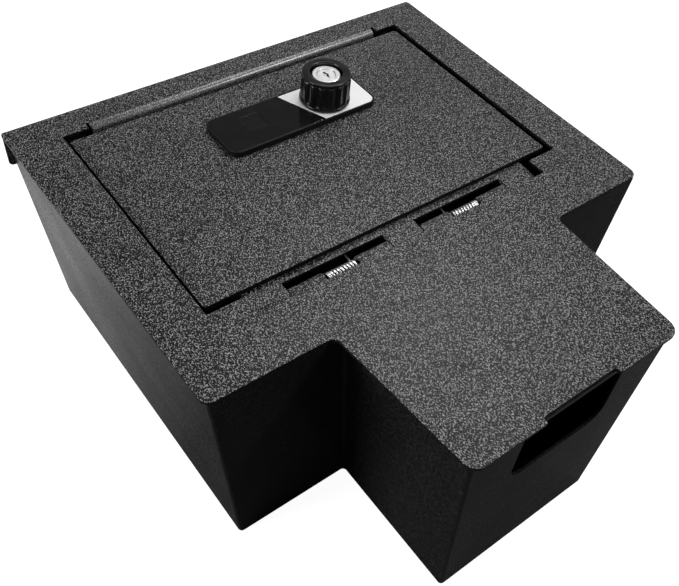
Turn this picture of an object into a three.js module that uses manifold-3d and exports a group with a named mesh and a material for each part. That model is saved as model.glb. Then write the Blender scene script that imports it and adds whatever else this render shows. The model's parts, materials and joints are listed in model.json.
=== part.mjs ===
import * as THREE from 'three';
import { mergeVertices } from 'three/addons/utils/BufferGeometryUtils.js';
import Module from 'manifold-3d';

// Console safe, closed and unlocked, in millimetres with +Z up.
// The origin is under the middle of the face plate, on the level of the floor's underside.
// The narrow tongue points along -Y, the hinge pin lies along X and the bolt leaves along +Y.

// Face plate: the opening for the lid, the bands of sheet around it and the tongue ahead of them
const openingWidth = 244.2;
const openingDepth = 157;
const openingCornerRadius = 1;
const sideBand = 27.9;
const frontBand = 45.1;
const rearBand = 21.4;
const tongueLength = 94.5;
const tongueBaseWidth = 156;
const tongueTipWidth = 145.2;
const safeHeight = 143;
const plateThickness = 2;
const rearCornerRadius = 4;
const stepCornerRadius = 6;
const tipCornerRadius = 8;
const innerCornerRadius = 5;
const fingerNotchWidth = 51.5;
const fingerNotchDepth = 3.6;
const fingerNotchRadius = 2;
const rearFlangeDrop = 23.8;
const rearFlangeInset = 0.6;
const rearBendRadius = 2.5;
const flangeCornerRadius = 3;

// Strike lip bent down from the rear edge of the opening
const lipEndSetback = 18.1;
const lipDrop = 8;
const lipBendRadius = 4;
const reliefWidth = 2;
const reliefDepth = 5;

// Body
const wallThickness = 1.8;
const sideWallInset = 1.9;
const sideWallLean = 14.8;
const tongueWallWidth = 143;
const tongueWallLean = 12.5;
const stepWallInset = 0.1;
const tipWallInset = 3;
const rearWallInset = 3.3;
const rearWallLean = 3.1;
const bodyCornerRadius = 2.5;
const seamSetback = 9;
const floorThickness = 2;
const floorRimHeight = 12;
const matThickness = 3;
const handHoleWidth = 69;
const handHoleSill = 93;
const handHoleRadius = 12;
const handHoleTopRadius = 2;
const handHoleHeader = 4;
const leastBendRadius = 1;

// Fits, the reach of a cutting tool past the face it opens, and the lap where two solids are joined
const weldGap = 0.2;
const runningGap = 0.3;
const overcut = 1;
const seamLap = 1;

// Hinge, ahead of the opening. Its row from the left: L is a knuckle of the lid, B of the body, S a spring.
const knuckleRow = 'LBSBLBSBL';
const pinLead = 5.6;
const pinRadius = 1.7;
const knuckleRadius = 4;
const leafThickness = 2;
const hingeWidth = 199.2;
const knuckleGap = 0.5;
const hingeSideGap = 0.8;
const hingeNotchDepth = 12.7;
const leafSlotReach = 7.2;
const lidLeafReach = 15;
const bodyLeafReach = 20;
const bodyLeafSetback = 9;
const springWire = 1.2;
const springClearance = 0.35;
const springTurns = 8;
const springLidReach = 22;
const springBodyReach = 7.8;

// Lid
const lidRecess = 2;
const lidThickness = 3.3;
const lidSideGap = 2;
const lidRearGap = 3.6;
const lidFrontGap = 5.8;
const lidCornerRadius = 1.5;

// Lid stops
const stopInset = 8.1;
const stopWidth = 12;
const stopThickness = 2;
const stopWeldReach = 10;
const stopSetback = 1.5;
const stopShelfReach = 14;
const bumperRadius = 4;
const bumperHeight = 2.7;
const bumperMargin = 1;

// Lock module on the lid. Setbacks count from the rear edge of the opening, offsets from the module's middle.
const moduleWidth = 105;
const moduleDepth = 35;
const moduleHeight = 3.8;
const moduleCentreX = 3.5;
const moduleSetback = 47.6;
const moduleCornerRadius = 6;
const moduleRim = 1;
const inlayThickness = 1;
const inlaySinking = 0.1;
const divisionFrontOffset = 13.8;
const divisionRearOffset = -1;
const divisionGap = 0.3;
const sensorSize = 12.4;
const sensorOffset = -25.9;
const sensorSetback = 44.3;
const sensorCornerRadius = 1.2;
const sensorSinking = 0.35;

// Knob and key cylinder
const knobOffset = 23.8;
const knobSetback = 47.3;
const knobRise = 21.5;
const knobBaseRadius = 15.8;
const knobBaseHeight = 2.2;
const knobGripRadius = 15.4;
const knobTopRadius = 15;
const knobCapHeight = 2;
const knobChamfer = 0.7;
const fluteCount = 16;
const fluteDepth = 0.9;
const flutePoints = 6;
const knobFloor = 2.6;
const barrelRadius = 9;
const barrelRecess = 1.5;
const barrelChamfer = 0.6;
const barrelFloor = 1.6;
const plugRadius = 5.6;
const plugRecess = 0.3;
const keywayDepth = 11;
const keywayWidth = 1.3;
const keywayReach = 3.1;
const keywayJog = 0.9;
const tailRadius = 1.2;
const spindleRadius = 3.2;

// Bolt and its drive
const boltWidth = 36;
const boltThickness = 5;
const boltTravel = 10;
const boltClearanceUnderLip = 0.6;
const boltRestSetback = 1.6;
const boltFrontMargin = 6.6;
const boltChamfer = 2;
const crankPinRadius = 2;
const crankRadius = 14;
const crankThickness = 3;
const crankGap = 0.4;
const driveSlack = 0.55;
const lockNotchDepth = 3.2;
const guideLength = 14;
const guideWall = 2;
const guideGap = 4;
const clipRadius = 5;
const clipThickness = 1;
const releaseCamRadius = 5;
const releaseCamThickness = 2;
const releaseCamGap = 0.8;
const releaseLobeReach = 7.5;
const releaseLobeWidth = 5;

// Solenoid that blocks the crank
const solenoidLength = 26;
const solenoidWidth = 18;
const solenoidHeight = 20;
const solenoidEndWall = 2;
const solenoidGap = 15;
const plungerRadius = 3;
const plungerNoseRadius = 1.4;
const plungerNoseLength = 8;
const plungerStandoff = 0.5;
const collarRadius = 5;
const collarThickness = 1;
const plungerSpringWire = 0.7;
const plungerSpringRadius = 4;
const plungerSpringTurns = 3;

// Housing under the lid
const caseWidth = 124;
const caseRearGap = 4;
const caseFrontGap = 2.2;
const caseWall = 1.5;
const coverThickness = 1.5;
const coverBossSize = 9;
const bossOverlap = 0.5;
const coverCornerRadius = 1;
const caseFlange = 3.5;
const boltSlotGap = 0.5;
const coverBossHeight = 6;
const bossClearance = 1.7;
const screwShankRadius = 1.3;
const screwHeadRadius = 3;
const screwCrownRadius = 2.1;
const screwHeadHeight = 1.8;
const screwLength = 7;
const crossWidth = 0.7;
const crossArm = 1.8;
const crossDepth = 1;
const moduleScrewSpread = 42;
const moduleScrewReach = 2.2;

// Batteries and circuit board
const batteryCount = 4;
const batteryRadius = 7.25;
const batteryLength = 49.5;
const batteryNubRadius = 2.7;
const batteryNubLength = 1;
const batteryInset = 2.5;
const channelWall = 0.9;
const trayBack = 2;
const trayDepth = 11.5;
const trayEndWall = 2;
const trayGap = 1;
const boardThickness = 1.6;
const boardStandoff = 2;
const boardStandoffRadius = 2.2;
const boardFootInset = 3.3;
const boardGap = 5;
const boardSideGap = 2.5;
const boardBoltGap = 1.5;

// Mesh fineness: segments on a quarter turn of a corner, and sides on a full round
const cornerSegments = 6;
const fineSides = 64;
const roundSides = 32;
const smallSides = 16;
const wireSides = 6;
const coilSteps = 12;

// Places that follow from the sizes
const plateWidth = openingWidth + 2 * sideBand;
const wideDepth = frontBand + openingDepth + rearBand;
const frontY = -(wideDepth + tongueLength) / 2;
const stepY = frontY + tongueLength;
const rearY = stepY + wideDepth;
const halfWidth = plateWidth / 2;
const lipHalf = openingWidth / 2 - lipEndSetback;
const plateTop = safeHeight;
const plateUnder = plateTop - plateThickness;
const openFront = stepY + frontBand;
const openRear = openFront + openingDepth;
const lidTop = plateTop - lidRecess;
const lidUnder = lidTop - lidThickness;
const lidHalf = openingWidth / 2 - lidSideGap;
const lidFront = openFront + lidFrontGap;
const lidRear = openRear - lidRearGap;
const hingeY = openFront - pinLead;
const leafTop = lidUnder - weldGap;
const hingeZ = leafTop - knuckleRadius;
const hingeHalf = hingeWidth / 2;
const knucklePitch = hingeWidth / knuckleRow.length;
const springCoilRadius = pinRadius + springClearance + springWire / 2;
const moduleY = openRear - moduleSetback;
const moduleBottom = lidTop + weldGap;
const moduleTop = moduleBottom + moduleHeight;
const knobX = moduleCentreX + knobOffset;
const knobY = openRear - knobSetback;
const knobBottom = moduleTop + runningGap;
const knobTop = plateTop + knobRise;
const barrelTop = knobTop - barrelRecess;
const barrelBottom = knobBottom + knobFloor + runningGap;
const boltTop = plateTop - lipDrop - boltClearanceUnderLip;
const boltBottom = boltTop - boltThickness;
const boltTip = lidRear + boltRestSetback;
const crankTop = boltBottom - crankGap;
const crankBottom = crankTop - crankThickness;
const crankThrow = boltTravel / 2 / Math.sin(Math.PI / 4);
const crankPinReach = crankThrow * Math.cos(Math.PI / 4);
const spindleRoom = spindleRadius + runningGap;
const boltSlotY = knobY - crankPinReach;
const boltFront = boltSlotY - crankPinReach - spindleRoom - boltFrontMargin;
const clipTop = crankBottom - runningGap;
const spindleBottom = clipTop - clipThickness - runningGap;
const releaseCamTop = clipTop - clipThickness - releaseCamGap;
const plungerZ = (crankTop + crankBottom) / 2;
const plungerNoseEnd = knobX - crankRadius - plungerStandoff;
const plungerNoseStart = plungerNoseEnd - plungerNoseLength;
const solenoidFace = knobX - crankRadius - solenoidGap;
const partsTop = lidUnder - weldGap;
const batteryZ = partsTop - trayBack - runningGap - batteryRadius;
const batteryPitch = 2 * batteryRadius + channelWall;
const trayRear = knobY - solenoidWidth / 2 - trayGap;
const trayFront = trayRear - batteryLength - batteryNubLength - 2 * (trayEndWall + runningGap);
const caseTop = partsTop;
const caseBottom = batteryZ - batteryRadius - bossClearance - coverBossHeight;
const caseHalf = caseWidth / 2;
const caseRear = lidRear - caseRearGap;
const caseFront = trayFront - caseFrontGap - caseWall;
const coverTop = caseBottom - weldGap;

// Finishes
const texturedBlack = finish(0x2b2b2d, 0.75, 0.15);
const satinBlack = finish(0x1d1d1f, 0.45, 0.2);
const brightSteel = finish(0xc4c6c8, 0.3, 1);
const zincSteel = finish(0xa9acb0, 0.42, 1);
const polishedWhite = finish(0xe9e9ea, 0.2, 0.1);
const mouldedBlack = finish(0x0e0e0f, 0.4, 0);
const glossBlack = finish(0x111113, 0.08, 0);
const sensorGlass = finish(0x1a1a1d, 0.15, 0);
const foamGrey = finish(0x303032, 0.95, 0);
const rubberBlack = finish(0x151515, 0.9, 0);
const boardGreen = finish(0x1f5a34, 0.5, 0);
const batteryJacket = finish(0x35383c, 0.35, 0.4);
const coilBrown = finish(0x5a3a20, 0.5, 0.2);

const wasm = await Module();
wasm.setup();

function finish(color, roughness, metalness) {
  return new THREE.MeshStandardMaterial({ color, roughness, metalness });
}

// Closed mesh to solid, with its shared vertices joined
function solid(geometry) {
  const bare = geometry.clone();
  bare.deleteAttribute('normal');
  bare.deleteAttribute('uv');
  const joined = mergeVertices(bare);
  return new wasm.Manifold(new wasm.Mesh({
    numProp: 3,
    vertProperties: joined.attributes.position.array,
    triVerts: new Uint32Array(joined.index.array),
  }));
}

// Named piece of the assembly
function piece(name, shape, material) {
  const mesh = shape.getMesh();
  const geometry = new THREE.BufferGeometry();
  geometry.setAttribute('position', new THREE.BufferAttribute(mesh.vertProperties, 3));
  geometry.setIndex(new THREE.BufferAttribute(mesh.triVerts, 1));
  geometry.computeVertexNormals();
  const part = new THREE.Mesh(geometry, material);
  part.name = name;
  return part;
}

function join(...shapes) {
  return shapes.reduce((whole, next) => whole.add(next));
}

function cut(shape, ...tools) {
  return tools.reduce((rest, tool) => rest.subtract(tool), shape);
}

// Block between two corners
function block([x0, x1], [y0, y1], [z0, z1]) {
  const geometry = new THREE.BoxGeometry(x1 - x0, y1 - y0, z1 - z0);
  return solid(geometry.translate((x0 + x1) / 2, (y0 + y1) / 2, (z0 + z1) / 2));
}

// Flat outline carried upwards, along X or along Y
function alongZ(shape, [z0, z1]) {
  const geometry = extruded(shape, z1 - z0);
  return solid(geometry.translate(0, 0, z0));
}

function alongX(shape, [x0, x1]) {
  const geometry = extruded(shape, x1 - x0);
  geometry.applyMatrix4(new THREE.Matrix4().makeBasis(axis(0, 1, 0), axis(0, 0, 1), axis(1, 0, 0)));
  return solid(geometry.translate(x0, 0, 0));
}

function alongY(shape, [y0, y1]) {
  const geometry = extruded(shape, y1 - y0);
  geometry.applyMatrix4(new THREE.Matrix4().makeBasis(axis(1, 0, 0), axis(0, 0, 1), axis(0, -1, 0)));
  return solid(geometry.translate(0, y1, 0));
}

function axis(x, y, z) {
  return new THREE.Vector3(x, y, z);
}

function extruded(shape, depth) {
  const settings = { depth, steps: 1, bevelEnabled: false, curveSegments: cornerSegments };
  return new THREE.ExtrudeGeometry(shape, settings);
}

// Closed outline through corners [x, y, radius], each rounded by an arc
function rounded(corners) {
  const shape = new THREE.Shape();
  corners.forEach(([x, y, radius], index) => {
    if (radius === 0) {
      if (index === 0) shape.moveTo(x, y);
      else shape.lineTo(x, y);
      return;
    }
    const corner = new THREE.Vector2(x, y);
    const before = new THREE.Vector2(...corners.at(index - 1).slice(0, 2)).sub(corner).normalize();
    const after = new THREE.Vector2(...corners[(index + 1) % corners.length].slice(0, 2)).sub(corner).normalize();
    const half = Math.acos(before.dot(after)) / 2;
    const middle = before.clone().add(after).normalize().multiplyScalar(radius / Math.sin(half)).add(corner);
    const start = before.clone().multiplyScalar(radius / Math.tan(half)).add(corner).sub(middle);
    const end = after.clone().multiplyScalar(radius / Math.tan(half)).add(corner).sub(middle);
    const clockwise = before.cross(after) > 0;
    shape.absarc(middle.x, middle.y, radius, start.angle(), end.angle(), clockwise);
  });
  return shape;
}

function rectangle([x0, x1], [y0, y1], radius = 0) {
  return rounded([[x0, y0, radius], [x1, y0, radius], [x1, y1, radius], [x0, y1, radius]]);
}

function centred(middle, width) {
  return [middle - width / 2, middle + width / 2];
}

// Round bar upwards, along X or along Y through a point
function barZ(radius, [x, y], [z0, z1], sides = roundSides) {
  const geometry = new THREE.CylinderGeometry(radius, radius, z1 - z0, sides).rotateX(Math.PI / 2);
  return solid(geometry.translate(x, y, (z0 + z1) / 2));
}

function barX(radius, [y, z], [x0, x1], sides = roundSides) {
  const geometry = new THREE.CylinderGeometry(radius, radius, x1 - x0, sides).rotateZ(Math.PI / 2);
  return solid(geometry.translate((x0 + x1) / 2, y, z));
}

function barY(radius, [x, z], [y0, y1], sides = roundSides) {
  const geometry = new THREE.CylinderGeometry(radius, radius, y1 - y0, sides);
  return solid(geometry.translate(x, (y0 + y1) / 2, z));
}

// Turned piece about Z from its closed half profile of [radius, height] points
function turned(profile, [x, y], sides = roundSides) {
  const points = [...profile, profile[0]].map(([radius, height]) => new THREE.Vector2(radius, height));
  const geometry = new THREE.LatheGeometry(points, sides).rotateX(Math.PI / 2);
  return solid(geometry.translate(x, y, 0));
}

// Wire bent along points, with round caps left square
function wire(points, radius) {
  const path = new THREE.CatmullRomCurve3(points);
  const section = new THREE.Shape().absarc(0, 0, radius, 0, 2 * Math.PI);
  const sides = wireSides / 2;
  const settings = { steps: points.length - 1, extrudePath: path, curveSegments: sides, bevelEnabled: false };
  return solid(new THREE.ExtrudeGeometry(section, settings));
}

// Points of a helix along X about the line (y, z), starting at the given angle from -Z
function helixX(radius, [y, z], [x0, x1], turns, startAngle = 0) {
  const count = Math.round(turns * coilSteps);
  return Array.from({ length: count + 1 }, (_, index) => {
    const share = index / count;
    const angle = startAngle + share * turns * 2 * Math.PI;
    return axis(x0 + share * (x1 - x0), y + radius * Math.sin(angle), z - radius * Math.cos(angle));
  });
}

// Face plate: flat sheet with the opening, the rear flange and the strike lip
function facePlate() {
  const tip = tongueTipWidth / 2;
  const base = tongueBaseWidth / 2;
  const notch = fingerNotchWidth / 2;
  const notchEnd = frontY + fingerNotchDepth;
  const outline = rounded([
    [-tip, frontY, tipCornerRadius],
    [-notch, frontY, fingerNotchRadius / 2],
    [-notch, notchEnd, fingerNotchRadius],
    [notch, notchEnd, fingerNotchRadius],
    [notch, frontY, fingerNotchRadius / 2],
    [tip, frontY, tipCornerRadius],
    [base, stepY, innerCornerRadius],
    [halfWidth, stepY, stepCornerRadius],
    [halfWidth, rearY, rearCornerRadius],
    [-halfWidth, rearY, rearCornerRadius],
    [-halfWidth, stepY, stepCornerRadius],
    [-base, stepY, innerCornerRadius],
  ]);
  const sheet = [plateUnder, plateTop];
  const flat = alongZ(outline, sheet).intersect(
    block([-halfWidth, halfWidth], [frontY, rearY - rearBendRadius], sheet));
  const relief = lipHalf + reliefWidth;
  const open = openingWidth / 2;
  const opening = alongZ(rectangle([-open, open], [openFront, openRear], openingCornerRadius),
    [plateUnder - overcut, plateTop + overcut]);
  const notchHalf = hingeHalf + hingeSideGap;
  const hingeNotch = block([-notchHalf, notchHalf], [openFront - hingeNotchDepth, openFront + overcut],
    [plateUnder - overcut, plateTop + overcut]);
  const lipGap = block([-relief, relief], [openRear - overcut, openRear + reliefDepth],
    [plateUnder - overcut, plateTop + overcut]);
  return join(cut(flat, opening, hingeNotch, lipGap), rearFlange(outline), strikeLip());
}

function rearFlange(outline) {
  const bottom = plateTop - rearFlangeDrop;
  const inner = rearBendRadius - plateThickness;
  const bendY = rearY - rearBendRadius;
  const bendZ = plateTop - rearBendRadius;
  const section = new THREE.Shape();
  section.moveTo(bendY - seamLap, plateUnder);
  section.lineTo(bendY, plateUnder);
  section.absarc(bendY, bendZ, inner, Math.PI / 2, 0, true);
  section.lineTo(rearY - plateThickness, bottom);
  section.lineTo(rearY, bottom);
  section.absarc(bendY, bendZ, rearBendRadius, 0, Math.PI / 2, false);
  section.lineTo(bendY - seamLap, plateTop);
  const across = [-halfWidth + rearFlangeInset, halfWidth - rearFlangeInset];
  const face = rounded([
    [across[0], bottom, flangeCornerRadius],
    [across[1], bottom, flangeCornerRadius],
    [across[1], plateTop, 0],
    [across[0], plateTop, 0],
  ]);
  return alongX(section, across)
    .intersect(alongY(face, [bendY - plateThickness, rearY]))
    .intersect(alongZ(outline, [bottom, plateTop]));
}

function strikeLip() {
  const inner = lipBendRadius - plateThickness;
  const bendY = openRear + lipBendRadius;
  const bendZ = plateTop - lipBendRadius;
  const rootY = openRear + reliefDepth + seamLap;
  const section = new THREE.Shape();
  section.moveTo(rootY, plateTop);
  section.lineTo(bendY, plateTop);
  section.absarc(bendY, bendZ, lipBendRadius, Math.PI / 2, Math.PI, false);
  section.lineTo(openRear, plateTop - lipDrop);
  section.lineTo(openRear + plateThickness, plateTop - lipDrop);
  section.absarc(bendY, bendZ, inner, Math.PI, Math.PI / 2, true);
  section.lineTo(rootY, plateUnder);
  return alongX(section, [-lipHalf, lipHalf]);
}

// Solid that fills the body between two heights, drawn in from its outside by an inset.
// The outline is carried up and each wall's upper corners are moved out by the wall's lean.
function bodyFill([z0, z1], inset) {
  const wallTop = plateUnder - weldGap;
  const lowShare = (wallTop - z0) / wallTop;
  const rise = (z1 - z0) / wallTop;
  const side = halfWidth - sideWallInset - sideWallLean * lowShare - inset;
  const tongue = tongueWallWidth / 2 - tongueWallLean * lowShare - inset;
  const rear = rearY - rearWallInset + rearWallLean * lowShare - inset;
  const tip = frontY + tipWallInset + inset;
  const step = stepY + stepWallInset + inset;
  const outer = Math.max(bodyCornerRadius - inset, leastBendRadius);
  const outline = rounded([
    [-tongue, tip, outer],
    [tongue, tip, outer],
    [tongue, step, bodyCornerRadius + inset],
    [side, step, outer],
    [side, rear, outer],
    [-side, rear, outer],
    [-side, step, outer],
    [-tongue, step, bodyCornerRadius + inset],
  ]);
  const geometry = extruded(outline, z1 - z0);
  const place = geometry.attributes.position;
  const middle = (side + tongue) / 2;
  for (let index = 0; index < place.count; index += 1) {
    if (place.getZ(index) < (z1 - z0) / 2) continue;
    const x = place.getX(index);
    const y = place.getY(index);
    const lean = Math.abs(x) > middle ? sideWallLean : tongueWallLean;
    place.setX(index, x + Math.sign(x) * lean * rise);
    if (y > (rear + step) / 2) place.setY(index, y - rearWallLean * rise);
  }
  return solid(geometry.translate(0, 0, z0));
}

// Walls of the body: one bent shell, parted by upright weld seams beside the bends
function bodyWalls() {
  const wallTop = plateUnder - weldGap;
  const shell = cut(bodyFill([0, wallTop], 0), bodyFill([0, wallTop], wallThickness));
  const reach = plateWidth;
  const tipSeam = frontY + tipWallInset + seamSetback;
  const insideSeam = stepY + stepWallInset - seamSetback;
  const stepSeam = stepY + stepWallInset + seamSetback;
  const rearSeam = rearY - rearWallInset - seamSetback;
  const handHole = alongY(rounded([
    [-handHoleWidth / 2, handHoleSill, handHoleRadius],
    [handHoleWidth / 2, handHoleSill, handHoleRadius],
    [handHoleWidth / 2, wallTop - handHoleHeader, handHoleTopRadius],
    [-handHoleWidth / 2, wallTop - handHoleHeader, handHoleTopRadius],
  ]), [frontY, tipSeam]);
  const slice = (xs, [y0, y1]) => shell.intersect(
    block(xs, [y0 + weldGap / 2, y1 - weldGap / 2], [-overcut, plateTop]));
  const left = [-reach, 0];
  const right = [0, reach];
  return [
    piece('tongue_front_wall', cut(slice([-reach, reach], [-reach, tipSeam]), handHole), satinBlack),
    piece('tongue_left_wall', slice(left, [tipSeam, insideSeam]), satinBlack),
    piece('tongue_right_wall', slice(right, [tipSeam, insideSeam]), satinBlack),
    piece('left_front_wall', slice(left, [insideSeam, stepSeam]), satinBlack),
    piece('right_front_wall', slice(right, [insideSeam, stepSeam]), satinBlack),
    piece('left_wall', slice(left, [stepSeam, rearSeam]), satinBlack),
    piece('right_wall', slice(right, [stepSeam, rearSeam]), satinBlack),
    piece('rear_wall', slice([-reach, reach], [rearSeam, reach]), satinBlack),
  ];
}

// Floor: a shallow pan welded inside the foot of the walls, with a loose foam mat
function floorPieces() {
  const rim = wallThickness + weldGap;
  const pan = cut(bodyFill([0, floorRimHeight], rim),
    bodyFill([floorThickness, floorRimHeight], rim + floorThickness));
  const matBottom = floorThickness + weldGap;
  const mat = bodyFill([matBottom, matBottom + matThickness], rim + floorThickness + 2 * runningGap);
  return [piece('floor_pan', pan, satinBlack), piece('floor_mat', mat, foamGrey)];
}

// Stops for the closed lid: two welded brackets with rubber bumpers
function lidStops() {
  const bumperTop = lidUnder - runningGap;
  const shelfTop = bumperTop - bumperHeight - weldGap;
  const webFront = openRear + stopSetback;
  const shelfFront = webFront - stopShelfReach;
  const weldTop = plateUnder - weldGap;
  return [-1, 1].flatMap((side) => {
    const name = side < 0 ? 'left' : 'right';
    const stopX = side * (openingWidth / 2 - stopInset);
    const width = centred(stopX, stopWidth);
    const bracket = join(
      block(width, [shelfFront, webFront + stopThickness], [shelfTop - stopThickness, shelfTop]),
      block(width, [webFront, webFront + stopThickness], [shelfTop - stopThickness, weldTop]),
      block(width, [webFront, webFront + stopWeldReach], [weldTop - stopThickness, weldTop]));
    const seat = [stopX, shelfFront + bumperRadius + bumperMargin];
    const bumper = barZ(bumperRadius, seat, [shelfTop + weldGap, bumperTop], smallSides);
    return [
      piece(`stop_bracket_${name}`, bracket, satinBlack),
      piece(`lid_bumper_${name}`, bumper, rubberBlack),
    ];
  });
}

// Places in the hinge's row that hold the given letter, counted from the left
function knucklesOf(letter) {
  return [...knuckleRow].flatMap((owner, index) => (owner === letter ? [index] : []));
}

function knuckleSpan(index) {
  const start = -hingeHalf + index * knucklePitch;
  return [start + knuckleGap / 2, start + knucklePitch - knuckleGap / 2];
}

function barrels(places) {
  return join(...places.map((index) => barX(knuckleRadius, [hingeY, hingeZ], knuckleSpan(index))));
}

function pinHole() {
  return barX(pinRadius + runningGap, [hingeY, hingeZ], [-halfWidth, halfWidth], smallSides);
}

function bodyLeaf() {
  const webRear = hingeY - bodyLeafSetback;
  const bottom = hingeZ - knuckleRadius;
  const top = plateUnder - weldGap;
  const across = [-hingeHalf, hingeHalf];
  const flange = block(across, [webRear - bodyLeafReach, webRear], [top - leafThickness, top]);
  const web = block(across, [webRear - leafThickness, webRear], [bottom, top]);
  const fingers = knucklesOf('B').map((index) => block(
    knuckleSpan(index), [webRear - leafThickness, hingeY], [bottom, bottom + leafThickness]));
  return cut(join(flange, web, ...fingers, barrels(knucklesOf('B'))), pinHole());
}

// The lid's leaf, slotted between its knuckles where the body's knuckles and a spring stand
function lidLeaf() {
  const own = knucklesOf('L');
  const across = [-hingeHalf + knuckleGap / 2, hingeHalf - knuckleGap / 2];
  const strip = block(across, [hingeY, lidFront + lidLeafReach], [leafTop - leafThickness, leafTop]);
  const slots = own.slice(1).map((next, index) => block([knuckleSpan(own[index])[1], knuckleSpan(next)[0]],
    [hingeY - overcut, hingeY + leafSlotReach], [leafTop - leafThickness - overcut, leafTop + overcut]));
  return cut(join(cut(strip, ...slots), barrels(own)), pinHole());
}

// Torsion spring round the pin: one leg bears on the body leaf's web, the other under the lid leaf
function torsionSpring(index) {
  const [x0, x1] = knuckleSpan(index);
  const outward = index * 2 < knuckleRow.length - 1 ? 1 : -1;
  const ends = outward > 0 ? [x0, x1] : [x1, x0];
  const run = [ends[0] + outward * springWire, ends[1] - outward * springWire];
  const coil = helixX(springCoilRadius, [hingeY, hingeZ], run, springTurns);
  const low = hingeZ - springCoilRadius;
  const lidLegZ = leafTop - leafThickness - runningGap - springWire / 2;
  const bodyLeg = [axis(run[0], hingeY - springBodyReach, low), axis(run[0], hingeY - springBodyReach / 2, low)];
  const lidLeg = [
    axis(run[1], hingeY + springLidReach / 3, (low * 2 + lidLegZ) / 3),
    axis(run[1], hingeY + springLidReach, lidLegZ),
  ];
  return wire([...bodyLeg, ...coil, ...lidLeg], springWire / 2);
}

function lidPlate() {
  const sheet = [lidUnder, lidTop];
  const outline = rectangle([-lidHalf, lidHalf], [lidFront, lidRear], lidCornerRadius);
  const through = [lidUnder - overcut, lidTop + overcut];
  const spindleHole = barZ(spindleRoom, [knobX, knobY], through, smallSides);
  const screwHoles = moduleScrewPlaces().map((place) => barZ(
    screwShankRadius + runningGap, place, through, smallSides));
  return cut(alongZ(outline, sheet), spindleHole, ...screwHoles);
}

function moduleScrewPlaces() {
  return [-1, 1].map((side) => [moduleCentreX + side * moduleScrewSpread, moduleY]);
}

function moduleOutline(inset) {
  return rectangle(centred(moduleCentreX, moduleWidth - 2 * inset), centred(moduleY, moduleDepth - 2 * inset),
    moduleCornerRadius - inset);
}

// Moulded base of the lock module, with a shallow recess for the two inlays
function moduleBase() {
  const recessFloor = moduleTop - inlaySinking - inlayThickness - weldGap;
  const recess = alongZ(moduleOutline(moduleRim), [recessFloor, moduleTop + overcut]);
  const spindleHole = barZ(spindleRoom, [knobX, knobY],
    [moduleBottom - overcut, moduleTop + overcut], smallSides);
  const screwBores = moduleScrewPlaces().map((place) => barZ(
    screwShankRadius + weldGap, place, [moduleBottom - overcut, moduleBottom + moduleScrewReach], smallSides));
  return cut(alongZ(moduleOutline(0), [moduleBottom, moduleTop]), recess, spindleHole, ...screwBores);
}

// The two inlays meet along a slanting division: the panel on the left, the trim on the right
function inlay(side) {
  const top = moduleTop - inlaySinking;
  const front = moduleY - moduleDepth / 2;
  const rear = moduleY + moduleDepth / 2;
  const gap = side * divisionGap / 2;
  const far = side * plateWidth;
  const divisionFront = moduleCentreX + divisionFrontOffset + gap;
  const divisionRear = moduleCentreX + divisionRearOffset + gap;
  const corners = [[divisionFront, front], [far, front], [far, rear], [divisionRear, rear]];
  const region = new THREE.Shape(corners.map(([x, y]) => new THREE.Vector2(x, y)));
  const plate = alongZ(moduleOutline(moduleRim + weldGap), [top - inlayThickness, top]);
  return plate.intersect(alongZ(region, [top - inlayThickness - overcut, top + overcut]));
}

function sensorOutline(size) {
  return rectangle(centred(moduleCentreX + sensorOffset, size), centred(openRear - sensorSetback, size),
    sensorCornerRadius);
}

function sensorPanel() {
  const top = moduleTop - inlaySinking;
  return cut(inlay(-1), alongZ(sensorOutline(sensorSize + 2 * weldGap),
    [top - inlayThickness - overcut, top + overcut]));
}

function sensorWindow() {
  const top = moduleTop - inlaySinking;
  return alongZ(sensorOutline(sensorSize), [top - inlayThickness, top - sensorSinking]);
}

function trimPlate() {
  return cut(inlay(1), barZ(spindleRoom, [knobX, knobY], [moduleBottom, moduleTop + overcut], smallSides));
}

// Knob: flared foot, fluted grip, plain cap ring and a well for the key cylinder
function knobGrip() {
  const gripBottom = knobBottom + knobBaseHeight;
  const gripTop = knobTop - knobCapHeight;
  const flutes = new THREE.Shape(Array.from({ length: fluteCount * flutePoints }, (_, index) => {
    const angle = index / (fluteCount * flutePoints) * 2 * Math.PI;
    const radius = knobGripRadius - fluteDepth * Math.sin(angle * fluteCount / 2) ** 2;
    return new THREE.Vector2(radius * Math.cos(angle), radius * Math.sin(angle));
  }));
  const foot = turned([
    [0, knobBottom], [knobBaseRadius, knobBottom], [knobBaseRadius, gripBottom - knobChamfer],
    [knobBaseRadius - knobChamfer, gripBottom], [knobTopRadius - fluteDepth, gripBottom + seamLap],
    [0, gripBottom + seamLap],
  ], [0, 0], fineSides);
  const cap = turned([
    [0, gripTop], [knobTopRadius, gripTop], [knobTopRadius, knobTop - knobChamfer],
    [knobTopRadius - knobChamfer, knobTop], [0, knobTop],
  ], [0, 0], fineSides);
  const well = barZ(barrelRadius + runningGap, [0, 0], [knobBottom + knobFloor, knobTop + overcut]);
  const spindleHole = barZ(spindleRoom, [0, 0], [knobBottom - overcut, knobTop], smallSides);
  return cut(join(foot, alongZ(flutes, [gripBottom, gripTop]), cap), well, spindleHole);
}

function lockBarrel() {
  const boreFloor = barrelBottom + barrelFloor;
  const outer = turned([
    [0, barrelBottom], [barrelRadius, barrelBottom], [barrelRadius, barrelTop - barrelChamfer],
    [barrelRadius - barrelChamfer, barrelTop], [0, barrelTop],
  ], [0, 0]);
  const bore = barZ(plugRadius + weldGap, [0, 0], [boreFloor, barrelTop + overcut]);
  const tailHole = barZ(tailRadius + runningGap, [0, 0], [barrelBottom - overcut, barrelTop], smallSides);
  return cut(outer, bore, tailHole);
}

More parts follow.
